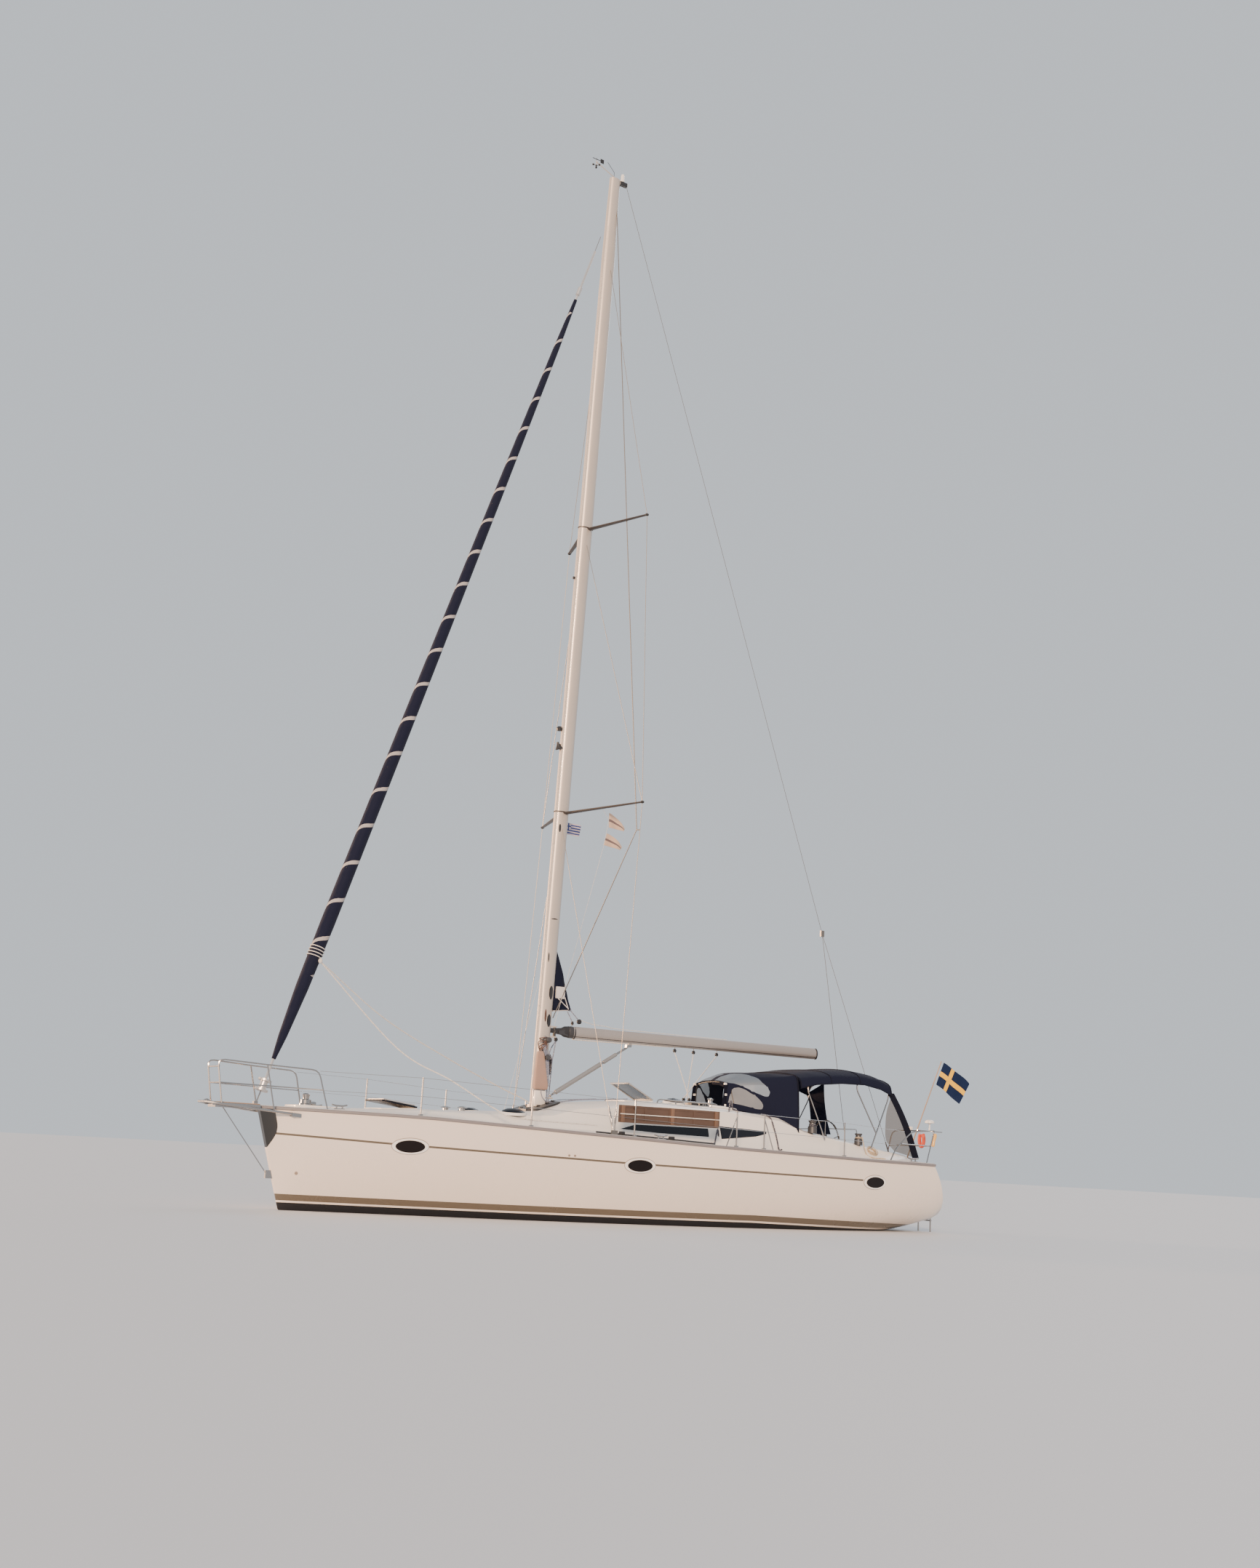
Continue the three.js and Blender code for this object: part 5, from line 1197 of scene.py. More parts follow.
@dataclass
class MastGear:
    """Lines, lamps, winches and fittings on the mast."""

    skin: Skin
    # Each row: y, lowest and highest point
    halyards: Rows = ((0.055, 2.9, 18.9), (-0.055, 3.0, 19.6), (0.035, 3.4, 17.9))
    # Each row: height, how far ahead of the mast's middle, radius, form
    lamps: Rows = ((8.65, 0.19, 0.055, Lamp.BALL), (8.36, 0.19, 0.075, Lamp.SHADE), (11.58, 0.16, 0.03, Lamp.BALL))
    winches: tuple[tuple[float, int], ...] = ((2.72, 1), (2.72, -1), (3.02, 1))
    winch: Profile = ((0, 0.155), (0.035, 0.155), (0.046, 0.14), (0.05, 0.125), (0.034, 0.11), (0.036, 0.05),
                      (0.055, 0.035), (0.062, 0.02), (0.062, -0.012), (0, -0.012))
    masthead: Profile = ((0, 0.165), (0.028, 0.16), (0.034, 0.13), (0.034, 0.05), (0.04, 0.045), (0.04, -0.002),
                         (0, -0.002))
    screw: Profile = ((0, 0.42), (0.009, 0.42), (0.01, 0.33), (0.017, 0.31), (0.017, 0.12), (0.01, 0.1),
                      (0.01, 0.0), (0, 0.0))
    # Each row: piece, x, height, width, height of the plate, finish
    exits: Rows = (
        ("slot_upper", 1.335, 3.857, 0.088, 0.24, "dark"), ("slot_lower", 1.345, 3.367, 0.088, 0.22, "dark"),
        ("exit_low", 1.425, 3.45, 0.035, 0.22, "rope_rust"), ("exit_middle", 1.43, 4.474, 0.022, 0.17, "dark"),
        ("exit_high", 1.365, 6.814, 0.04, 0.15, "dark"), ("joint_mark", 1.36, 5.163, 0.13, 0.016, "dark"),
    )
    # Heights of the bands where the spreaders meet the mast, and middles of the spreaders' tips
    bands: Point2 = (12.6, 7.12)
    tips: tuple[Point, ...] = ((0.696, 1.712, 7.16), (0.686, 1.362, 12.6))
    # Foot and head of the shrouds that carry a rigging screw
    shrouds: Rows = (((0.93, 1.74, 1.52), (0.7, 1.714, 7.16)), ((0.96, 1.74, 1.52), (1.33, 0.05, 6.9)))

    def mast_x(self, z: float) -> float:
        """The mast's middle at a height."""
        return MAST_FOOT[0] - RAKE * (z - MAST_FOOT[1])

    def build(self) -> None:
        """Makes the gear."""
        self.lines()
        for name, x, z, width, height, key in self.exits:
            self.oval((x, z), (width, height)).finish(f"mast_{name}", key)
        for i, (z, ahead, size, kind) in enumerate(self.lamps):
            self.lamp(self.mast_x(z), z, ahead, size, kind).finish(f"mast_lamp_{i + 1}", "dark")
        for i, (z, side) in enumerate(self.winches):
            place, _ = self.skin.hit((self.mast_x(z) - 0.02, side * 0.6, z), (0, -side, 0))
            Shape().turned(self.winch, place, (0, side, 0)).finish(f"halyard_winch_{i + 1}", "winch")
        Shape().turned(self.masthead, (0.8, 0, 20.004), UP, 20).finish("masthead_lamp", "lamp")
        x = self.mast_x(20.0)
        aerial = Shape().tube([(x, -0.04, 19.98), (x + 0.002, -0.04, 20.17), (x + 0.165, -0.04, 20.331)], 0.005)
        aerial.box((0.7, -0.032, 19.92), (0.86, -0.0225, 20.0)).box((0.7, 0.0225, 19.92), (0.86, 0.032, 20.0))
        aerial.finish("masthead_aerial", "dark")
        bands = Shape()
        for z in self.bands:
            bands.tube(ellipse((self.mast_x(z), 0, z), (0.15, 0, 0), (0, 0.092, 0), 24), 0.01, closed=True)
        bands.finish("spreader_bands", "spreader")
        for side in Side:
            tips = Shape()
            for x, y, z in self.tips:
                tips.ball((x, side.value * y, z), 0.036, 0.7)
            tips.finish(f"spreader_tips_{side.label}", "rubber")
        for side in Side:
            screws = Shape()
            for ends in self.shrouds:
                foot, head = (Vector((x, y * side.value, z)) for x, y, z in ends)
                screws.turned(self.screw, foot, head - foot, 12)
            screws.finish(f"rigging_screws_{side.label}", "steel")

    def lines(self) -> None:
        """Makes the halyards, the lines led aft and the halyard tied off at a shroud."""
        halyards = Shape()
        for y, low, high in self.halyards:
            path = []
            for i in range(9):
                z = low + (high - low) * i / 8
                path.append(self.skin.hit((self.mast_x(z) + 0.6, y, z), (-1, 0, 0))[0] + Vector((0.008, 0, 0)))
            halyards.tube(path, 0.006)
        halyards.finish("halyards", "rope_white")
        tails = Shape()
        foot = self.mast_x(2.0) - 0.02
        for y, ahead in ((0.1, 0.3), (-0.1, 0.22), (0.05, 0.22)):
            tails.curve([(foot, y * 1.05, 3.1), (foot + 0.05, y * 1.6, 2.5), (foot - 0.02, y * 1.9, 1.98),
                         (foot - 0.7, y * 3.2 + ahead * y, 2.035), (-0.1, y * 5.2, 2.1)], 0.007)
        tails.finish("led_aft_lines", "rope_slate")
        shroud = (0.735, 1.64, 6.67)
        tied = Shape().tube([*straight((0.93, 0.0, 19.75), shroud, 6)[:-1], *straight(shroud, (1.245, 0.035, 3.42), 4)],
                            0.009)
        tied.tube([shroud, (0.722, 1.704, 6.66)], 0.01).finish("tied_halyard", "wire")

    def oval(self, at: Point2, size: Point2) -> Shape:
        """Lays one oval plate on the mast's port side, by its middle's x and height and its width and height."""
        shape = Shape()
        bmesh.ops.create_grid(shape.bm, x_segments=8, y_segments=16, size=1.0)
        for vert in shape.bm.verts:
            u, v = vert.co.x, vert.co.y
            x = at[0] + size[0] / 2 * u * math.sqrt(1 - v ** 4 / 2)
            z = at[1] + size[1] / 2 * v * math.sqrt(1 - u * u / 2)
            vert.co = self.skin.hit((x, 0.6, z), (0, -1, 0))[0] + Vector((0, 0.003, 0))
        bmesh.ops.solidify(shape.bm, geom=shape.bm.faces[:], thickness=0.002)
        return shape

    def lamp(self, x: float, z: float, ahead: float, size: float, kind: Lamp) -> Shape:
        """Makes one lamp on the mast's front.

        Args:
            x: The mast's middle there.
            z: Its height.
            ahead: How far ahead of the mast's middle it is.
            size: Its radius.
            kind: Its form.

        Returns:
            The lamp on its arm.
        """
        at = (x + ahead, 0, z)
        if kind is Lamp.SHADE:
            profile = ((0, 0.05), (0.02, 0.045), (0.028, 0.0), (size, -0.085), (size * 0.9, -0.09), (0, -0.05))
            shape = Shape().turned(profile, at, (0.35, 0, 1), 20)
        else:
            profile = ((0, size), (size * 0.7, size * 0.8), (size, 0.2 * size), (size * 0.8, -size * 0.6),
                       (0, -size * 0.7))
            shape = Shape().turned(profile, at, UP, 20)
        return shape.box((x + 0.12, -0.012, z - 0.02), (x + ahead, 0.012, z + 0.012), 0.003)


@dataclass
class Headsail:
    """The rolled headsail, its clew and sheets."""

    clew: Point = (5.742, 0.1, 3.949)
    foot: Point = (6.545, 0.0, 1.65)
    run: Point2 = (5.32, 17.0)
    radius: float = 0.126
    sheets: Rows = (
        ((4.3, -0.38, 3.17), (2.73, -0.85, 2.588), (1.454, -1.25, 2.19), (0.716, -1.5, 1.969), (0.2, -1.62, 1.6)),
        ((4.35, 0.32, 2.65), (3.61, 0.9, 2.169), (2.971, 1.3, 1.747), (2.62, 1.46, 1.62), (1.2, 1.62, 1.585)),
    )

    def build(self) -> None:
        """Makes the roll's finish, the wraps and the sheets."""
        roll = node_copy("rolled_headsail", "genoa_roll", "sail", "sail_cloth", 60.0, levels=1)
        roll.modifiers["smooth"].subdivision_type = "SIMPLE"
        lean = math.atan2(*self.run)
        across = (self.radius * math.cos(lean), 0, self.radius * math.sin(lean))
        wraps = Shape()
        for k in range(4):
            height = 4.02 + 0.05 * k
            centre = (self.foot[0] - self.run[0] * (height - self.foot[2]) / self.run[1], 0, height)
            wraps.tube(ellipse(centre, across, (0, self.radius, 0), 24), 0.008, closed=True)
        wraps.finish("clew_wraps", "rope_white", "furler")
        Shape().ball((5.735, 0.11, 3.95), 0.035, 1.3).finish("sheet_knot", "rope_white", "furler")
        sheets = Shape()
        for points in self.sheets:
            sheets.curve([self.clew, *points], 0.011, steps=8)
        piece = sheets.finish("headsail_sheets", "rope_white", None)
        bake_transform(piece)


@dataclass
class Boom:
    """What hangs on the boom, and the mainsail's corner in the mast's slot."""

    sheet_tops: tuple[float, ...] = (-1.424, -1.85, -2.381)
    track_x: float = -1.735
    middle: float = 3.205
    nose: Profile = ((0, 0.385), (0.04, 0.385), (0.044, 0.3), (0.055, 0.22), (0.062, 0.155), (0.078, 0.125),
                     (0.095, 0.09), (0.104, 0.0), (0, 0.0))
    sleeve: Profile = ((0, 0.115), (0.1, 0.115), (0.107, 0.108), (0.107, 0.0), (0, 0.0))
    # Each row: x, height, size of a closing plate
    plates: Rows = ((0.79, 3.2, 1.02), (-4.745, 3.25, 1.0))
    corner: Profile = ((1.262, 4.72), (1.1, 4.3), (1.01, 4.05), (0.94, 3.8), (0.885, 3.6), (0.93, 3.575),
                       (1.255, 3.535))

    def build(self) -> None:
        """Makes the mainsheet, the end castings, the clew and the lines below the gooseneck."""
        self.mainsheet()
        self.castings()
        self.clew()
        self.gooseneck()

    def mainsheet(self) -> None:
        """Makes the mainsheet's blocks and falls, led to the traveller."""
        blocks, feet, falls = Shape(), Shape(), Shape()
        for x in self.sheet_tops:
            self.block(blocks, (x, 0.0, 3.055)).tube([(x, 0.0, 3.085), (x, 0.0, 3.125)], 0.006)
        blocks.finish("mainsheet_blocks", "dark", "boom_spar")
        for x, y in ((self.track_x - 0.02, 0.06), (self.track_x + 0.02, -0.06)):
            self.block(feet, (x, y, 2.185)).tube([(x, y, 2.12), (x, y, 2.16)], 0.008)
        feet.finish("mainsheet_feet", "dark")
        for x, (dx, y) in zip(self.sheet_tops, ((-0.02, 0.06), (0.0, 0.0), (0.02, -0.06))):
            for shift in (-0.012, 0.012):
                end = (self.track_x + dx + shift, y + shift, 2.21)
                falls.tube(straight((x + shift, shift, 3.03), end, 12), 0.006)
        piece = falls.finish("mainsheet_falls", "rope_white", None)
        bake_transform(piece)

    def block(self, shape: Shape, at: Point, radius: float = 0.032) -> Shape:
        """Adds one sheave block."""
        wheel = ((0, 0.016), (radius, 0.014), (radius, 0.006), (radius * 0.75, 0.0), (radius, -0.006),
                 (radius, -0.014), (0, -0.016))
        return shape.turned(wheel, at, (0, 1, 0), 16).pad(at, (0.012, 0.022), (-0.034, 0.036), 0.006)

    def castings(self) -> None:
        """Makes the boom's end castings and the outhaul line along it."""
        caps = Shape()
        for x, z, size in self.plates:
            part = bmesh.new()
            bmesh.ops.create_circle(part, cap_ends=True, segments=24, radius=1.0)
            bmesh.ops.transform(part, matrix=Matrix.Translation((x, 0, z)) @ Matrix.Rotation(math.pi / 2, 4, "Y")
                                @ Matrix.Diagonal((0.1085 * size, 0.0665 * size, 1, 1)), verts=part.verts)
            grown = new_verts(bmesh.ops.extrude_face_region(part, geom=part.faces[:]))
            bmesh.ops.translate(part, vec=(-0.03, 0, 0), verts=grown)
            bmesh.ops.bevel(part, geom=part.edges, offset=0.006, segments=2, profile=0.5, affect="EDGES", material=-1)
            caps.merge(part)
        caps.merge(self.flattened(self.nose, 0.885, 0.55, 28).bm).finish("boom_castings", "dark", "boom_spar")
        # The fore sleeve takes the boom's painted-shade colour
        self.flattened(self.sleeve, 0.78, 0.62, 36).finish("boom_fore_end", "boom_spar", "boom_spar")
        outhaul = Shape().curve([(0.675, 0.0, 3.44), (0.4, 0.0, 3.385), (0.08, 0.0, 3.368), (-0.3, 0.0, 3.345),
                                 (-2.6, 0.0, 3.35)], 0.006)
        outhaul.finish("outhaul_line", "rope_white", "boom_spar")

    def flattened(self, profile: Profile, x: float, share: float, sides: int) -> Shape:
        """Turns a body about the boom's axis, made narrower by a share and moved along to x."""
        shape = Shape().turned(profile, (0, 0, 0), (1, 0, 0), sides)
        return shape.moved(Matrix.Translation((x, 0, self.middle)) @ Matrix.Diagonal((1, share, 1, 1)))

    def clew(self) -> None:
        """Makes the mainsail's corner that shows at the mast's slot, and its outhaul."""
        shape = Shape()
        bm = shape.bm
        bmesh.ops.contextual_create(bm, geom=[bm.verts.new((x, 0.0, z)) for x, z in self.corner])
        bmesh.ops.triangulate(bm, faces=bm.faces)
        bmesh.ops.subdivide_edges(bm, edges=bm.edges, cuts=3, use_grid_fill=True)
        for vert in bm.verts:
            away = (1.26 - vert.co.x) / 0.4
            vert.co.y = (0.022 * math.sin(vert.co.z * 9.0) + 0.012 * math.sin(vert.co.z * 21 + 1.0)) * away
        sail = shape.finish("mainsail_clew", "navy", slot="navy_cloth", fix_normals=False)
        thicken(sail, 0.004, 0)
        patch = Shape().box((1.02, -0.036, 3.775), (1.2, 0.036, 3.985), 0.01)
        for path in (((1.155, 0.03, 3.775), (0.95, 0.03, 3.625)), ((1.02, 0.034, 3.8), (0.93, 0.03, 3.6)),
                     ((1.24, 0.012, 3.545), (0.92, 0.014, 3.585))):
            patch.tube(path, 0.009)
        patch.finish("clew_patch", "patch")
        blocks = self.block(Shape(), (0.675, 0.0, 3.405), 0.045)
        self.block(blocks, (0.815, 0.0, 3.365), 0.024).finish("clew_blocks", "dark", "boom_spar")
        falls = Shape()
        for ends in (((0.93, 0.0, 3.565), (0.815, 0.0, 3.385)), ((0.878, 0.0, 3.6), (0.69, 0.0, 3.43))):
            falls.tube(straight(*ends, 8), 0.01)
        piece = falls.ball((0.885, 0.0, 3.6), 0.03).finish("clew_falls", "rope_slate", None)
        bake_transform(piece)

    def gooseneck(self) -> None:
        """Makes the block and lines below the gooseneck, the vang's sleeve and the line under the boom."""
        self.block(Shape(), (1.135, 0.0, 3.055), 0.034).finish("gooseneck_block", "dark")
        lines = Shape()
        for path in (((1.14, 0.0, 3.03), (1.27, 0.03, 2.79), (1.3, 0.07, 2.3), (1.29, 0.1, 1.83)),
                     ((1.13, 0.0, 3.03), (1.187, 0.0, 2.65), (1.193, 0.0, 2.47), (1.235, 0.03, 1.84))):
            lines.curve(path, 0.011)
        lines.finish("gooseneck_lines", "rope_slate")
        pivot, along = Vector((1.1179, 0.0, 2.1161)), Vector((-0.852, 0.0, 0.52357))
        sleeve = Shape().tube([pivot + along * far for far in (1.17, 1.48)], 0.034, 16)
        sleeve.finish("vang_sleeve", "vang", "vang_strut")
        under = Shape().curve([(0.8, 0.0, 3.082), (0.59, 0.0, 3.085), (-0.9, 0.0, 3.105), (-1.38, 0.0, 3.12)], 0.01,
                              steps=4)
        under.finish("underboom_line", "rope_white", "boom_spar")


@dataclass
class MastFoot:
    """The canvas bag, the box and the coiled halyards at the mast's foot."""

    bag: Point = (1.49, 0.132, 2.49)
    bag_size: Point = (0.25, 0.095, 0.66)

    def build(self) -> None:
        """Makes the bag and what hangs round it."""
        shape = Shape()
        bm = shape.bm
        bmesh.ops.create_cube(bm, size=1.0)
        bmesh.ops.scale(bm, vec=self.bag_size, verts=bm.verts)
        bmesh.ops.subdivide_edges(bm, edges=bm.edges, cuts=3, use_grid_fill=True)
        for vert in bm.verts:
            share = vert.co.z * 2 / self.bag_size[2]
            vert.co.x = vert.co.x * (0.82 - 0.34 * share + 0.04 * math.sin(vert.co.z * 19)) + 0.022 * share
            vert.co.y *= 0.95 - 0.22 * share
        bag = shape.moved(Matrix.Translation(self.bag)).finish("mast_rope_bag", "bag", sharp=80)
        soften(bag, "soften", 2)
        Shape().box((1.36, 0.06, 1.865), (1.58, 0.16, 2.15), 0.02).finish("mast_foot_box", "moulding")
        rng = random.Random(5)
        path = [(1.36 + rng.uniform(0, 0.2), 0.1 + rng.uniform(0, 0.05), 2.82 + rng.uniform(0, 0.24))
                for _ in range(16)]
        Shape().curve(path, 0.008).finish("halyard_tangle", "rope_rust")
        hanks, coil = Shape(), Shape()
        for k in range(3):
            hanks.curve([(1.47 - 0.03 * k, 0.125, 2.93), (1.4 - 0.02 * k, 0.15, 2.7), (1.37 - 0.02 * k, 0.15, 2.45),
                         (1.345 - 0.015 * k, 0.13, 2.22)], 0.013)
        hanks.finish("halyard_hanks", "rope_slate")
        for k in range(5):
            wide = 0.03 + 0.006 * (k % 3)
            coil.tube(ellipse((1.262, 0.014 * k, 2.6), (wide, 0, 0), (0, 0, wide * 4.4), 28), 0.011, closed=True)
        coil.finish("halyard_coil", "rope_dark")


# Rails, canopies and the cockpit


@dataclass
class Rails:
    """Guardrails and the platform over the bow."""

    posts: tuple[float, ...] = (0.815, -0.143, -1.015)

    def build(self) -> None:
        """Makes the rails, the boarding plank's posts and lashing, and the bow platform's slats."""
        dress(RAILS)
        Shape().tube([(0.87, 1.805, 1.8), (-1.07, 1.952, 1.8)], 0.009).finish("plank_lashing", "rope_white")
        posts = Shape()
        for x in self.posts:
            y = 1.79 + 0.0786 * (0.88 - x)
            posts.box((x - 0.034, y - 0.03, 1.664), (x + 0.034, y + 0.014, 1.94), 0.005)
        posts.finish("plank_posts", "post")
        slats = Shape().box((6.54, -0.16, 1.5963), (7.262, 0.16, 1.612), 0.005)
        slats.finish("platform_slats", "varnish", slot="teak")


@dataclass
class Coachroof:
    """Handrails, clutches, winches and the roof's hatches."""

    skin: Skin
    # Each row: x and how high over the roof the handrail runs
    handrail: Profile = ((-0.5, 0.0), (-0.56, 0.062), (-0.9, 0.062), (-1.2, 0.062), (-1.5, 0.062), (-1.77, 0.062),
                         (-1.83, 0.0))
    winch: Profile = ((0, 0.16), (0.03, 0.16), (0.056, 0.148), (0.06, 0.13), (0.042, 0.115), (0.044, 0.05),
                      (0.068, 0.03), (0.072, 0.0), (0.072, -0.02), (0, -0.02))
    sheave: Profile = ((0, 0.05), (0.034, 0.05), (0.034, 0.035), (0.024, 0.028), (0.034, 0.02), (0.034, -0.01),
                       (0, -0.01))
    # Length, half breadth and height of the raised lid, and the width of its frame
    lid: tuple[float, ...] = (0.61, 0.305, 0.028, 0.034)
    deck_lines: Rows = (
        ("fore", ((-2.1, 1.1), (-2.04, 1.04), (-1.88, 1.13), (-1.62, 1.28), (-1.5, 1.36), (-1.3, 1.52),
                  (-1.12, 1.68))),
        ("aft", ((-2.66, 1.05), (-2.8, 1.14), (-2.83, 1.28), (-2.79, 1.45), (-2.72, 1.62))),
    )

    def build(self) -> None:
        """Makes the roof's gear."""
        for side in Side:
            path = [self.skin.top(x, side.value * 0.86, rise) for x, rise in self.handrail]
            rail = Shape().curve(path, 0.0125, 8, 4)
            for x, y, z in (path[2], path[4]):
                rail.tube([(x, y, z - 0.066), (x, y, z)], 0.011, 8)
            rail.finish(f"roof_handrail_{side.label}", "steel")
            clutches = Shape()
            place = self.skin.top(-1.58, side.value * 0.44)
            for shift in (-0.042, 0.0, 0.042):
                clutches.pad((-1.58, place.y + shift, place.z), (0.08, 0.018), (-0.012, 0.05), 0.006)
                clutches.pad((-1.6075, place.y + shift, place.z), (0.0475, 0.008), (0.045, 0.072), 0.006)
            clutches.finish(f"rope_clutches_{side.label}", "dark")
            winch = Shape().turned(self.winch, self.skin.top(-1.86, side.value * 0.58))
            winch.finish(f"roof_winch_{side.label}", "steel")
        self.hatches()
        node_copy("sheet_traveller", "traveller", "dark", "dark_fittings", 30.0, 0.004)
        hatch_ring("roof_hatch", self.skin, -1.02, 0.62, 0.2)
        self.loose_gear()

    def hatches(self) -> None:
        """Makes the raised main lid, an alloy frame round a smoked pane, and the fore hatch with its rim."""
        turn = Matrix.Translation((-0.785, 0, 2.107)) @ Matrix.Rotation(-math.atan2(0.274, 0.545), 4, "Y")
        length, half, high, wide = self.lid
        frame = Shape()
        for x0, x1, y0, y1 in ((0, wide, -half, half), (length - wide, length, -half, half),
                               (0.03, length - 0.03, half - wide, half), (0.03, length - 0.03, -half, wide - half)):
            frame.box((x0, y0, 0), (x1, y1, high), 0.006)
        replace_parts(frame.moved(turn).finish("main_hatch_frame", "alloy", "main_hatch", "hatch_frame"),
                    "main_hatch_lid")
        pane = Shape().box((0.026, -0.28, 0.01), (0.584, 0.28, 0.018), 0.002).moved(turn)
        pane.finish("main_hatch_pane", "smoke", "main_hatch")
        node_copy("fore_hatch_cover", "fore_hatch_lid", "glazing", "hatch_frame", 30.0, 0.004)
        low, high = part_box("fore_hatch_lid")
        rise, run = high.z - low.z - 0.03, high.x - low.x
        turn = Matrix.Translation((low.x + 0.014, 0, low.z + 0.012)) @ Matrix.Rotation(-math.atan2(rise, run), 4, "Y")
        far, half = math.hypot(run, rise) - 0.055, high.y - 0.032
        rim = [turn @ Vector(p) for p in ((0.03, -half, 0.032), (far, -half, 0.032), (far, half, 0.032),
                                          (0.03, half, 0.032))]
        Shape().tube(rim, 0.012, 8, closed=True).finish("fore_hatch_rim", "alloy", "fore_hatch")

    def loose_gear(self) -> None:
        """Lays the white ring and the dark lines over the roof, and the collar round the mast's foot."""
        ring = [self.skin.top(x, y, 0.022) for x, y, _ in ellipse((-1.93, 0.9, 0), (0.25, 0, 0), (0, 0.13, 0), 32)]
        Shape().tube(ring, 0.022, 10, closed=True).finish("roof_ring", "white")
        collar = Shape()
        bmesh.ops.create_grid(collar.bm, x_segments=12, y_segments=18, size=1.0)
        for vert in collar.bm.verts:
            x, y = 1.5 + 0.34 * vert.co.x, 0.46 * vert.co.y * (1 - 0.3 * vert.co.x ** 4)
            vert.co = self.skin.top(x, y, 0.034, 1.97)
        grown = new_verts(bmesh.ops.extrude_face_region(collar.bm, geom=collar.bm.faces[:]))
        bmesh.ops.translate(collar.bm, vec=(0, 0, -0.05), verts=grown)
        for x, y in ((1.2, 0.13), (1.34, 0.19), (1.52, 0.19), (1.68, 0.12)):
            for side in Side:
                collar.turned(self.sheave, self.skin.top(x, side.value * y, high=1.95), UP, 16)
        collar.finish("mast_collar", "dark")
        for name, places in self.deck_lines:
            path = [self.skin.top(x, y, 0.018, 2.6) for x, y in places]
            Shape().curve(path, 0.015, 8, 8).finish(f"deck_line_{name}", "rope_dark")


@dataclass
class Cockpit:
    """Teak, helms, winches and lines in the cockpit."""

    skin: Skin
    # Each row: low x, high x, low y, high y, height
    teak: Rows = (
        (-4.03, -2.8, 0.45, 1.02, 1.1303), (-4.03, -2.8, -1.02, -0.45, 1.1303),
        (-5.23, -2.8, -0.41, 0.41, 0.7403), (-5.23, -4.07, 0.43, 1.04, 0.7403), (-5.23, -4.07, -1.04, -0.43, 0.7403),
        (-6.0, -5.27, 0.39, 1.04, 1.1303), (-6.0, -5.27, -1.04, -0.39, 1.1303),
    )
    rim: Profile = ((0.058, 0.03), (0.075, 0.022), (0.082, 0.0), (0.058, 0.0), (0.058, 0.03))
    wheel: Point = (-4.5423, 0.62, 1.56)
    wheel_radius: float = 0.41

    def build(self) -> None:
        """Makes the cockpit's pieces."""
        for i, (x0, x1, y0, y1, z) in enumerate(self.teak):
            panel = Shape().box((x0, y0, z), (x1, y1, z + 0.01), 0.003)
            panel.finish(f"teak_panel_{i + 1}", "teak", slot="teak")
        step = Shape().box((-6.66, -0.33, 0.4303), (-6.36, 0.33, 0.442), 0.003)
        step.finish("teak_stern_step", "teak", slot="teak")
        for side in Side:
            self.helm(side, side.value * self.wheel[1])
            self.winch_gear(side)

    def helm(self, side: Side, y: float) -> None:
        """Makes one helm's pedestal, wheel and compass."""
        tag = side.label
        node_copy(f"helm_pedestal_{tag}", f"pedestal_{tag}", "moulding", "gelcoat", 30.0, 0.018)
        node_copy(f"helm_wheel_{tag}", f"steering_wheel_{tag}", "steel", "stainless", 50.0)
        Shape().ball((-4.36, y, 1.652), 0.062, 0.8).finish(f"compass_bowl_{tag}", "glazing")
        Shape().turned(self.rim, (-4.36, y, 1.6403)).finish(f"compass_rim_{tag}", "dark")
        dials, grip = Shape(), Shape()
        for dy in (-0.045, 0.045):
            dials.pad((-4.501, y + dy, 1.53), (0.011, 0.038), (0.0, 0.075), 0.006)
        dials.finish(f"helm_dials_{tag}", "dark")
        x, _, z = self.wheel
        for k in range(10):
            turns = [math.tau * k / 10 + 0.02 * j for j in range(14)]
            path = [(x, y + self.wheel_radius * math.sin(a), z + self.wheel_radius * math.cos(a)) for a in turns]
            grip.tube(path, 0.0165, 8)
        grip.finish(f"wheel_grip_{tag}", "rubber", f"wheel_{tag}")

    def winch_gear(self, side: Side) -> None:
        """Makes the sheet winches and the lines that lie on them."""
        for place, key in (("aft", "rope_sand"), ("fore", "rope_dark")):
            tag = f"{place}_{side.label}"
            node_copy(f"sheet_winch_{tag}", f"winch_{tag}", "winch", "stainless", 40.0, 0.003)
            low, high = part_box(f"winch_{tag}")
            radius = (high.x - low.x) / 2 * 0.74
            turns = Shape()
            for k in range(3):
                middle = ((low.x + high.x) / 2, (low.y + high.y) / 2, high.z - 0.072 - 0.014 * k)
                turns.tube(ellipse(middle, (radius, 0, 0), (0, radius, 0), 20), 0.0065, closed=True)
            turns.finish(f"sheet_turns_{tag}", key)
        s = side.value
        coil = Shape()
        rng = random.Random(10 + s)
        for k in range(6):
            radius = 0.075 + rng.uniform(-0.012, 0.02)
            middle = (-5.16 + rng.uniform(-0.02, 0.02), s * 1.27 + rng.uniform(-0.01, 0.01), 0)
            ring = ellipse(middle, (radius * 1.3, 0, 0), (0, radius * 0.8, 0), 24)
            coil.tube([self.skin.top(x, y, 0.008 + 0.009 * k, 2.0) for x, y, _ in ring], 0.0065, closed=True)
        coil.finish(f"sheet_coil_{side.label}", "rope_sand")
        hanging = ((-4.96, 1.33), (-5.06, 1.42), (-5.1, 1.52), (-5.2, 1.6))
        tail = [(-4.88, s * 1.29, 1.7), *(self.skin.top(x, s * y, 0.012, 2.0) for x, y in hanging)]
        Shape().curve(tail, 0.01).finish(f"sheet_tail_{side.label}", "rope_sand")


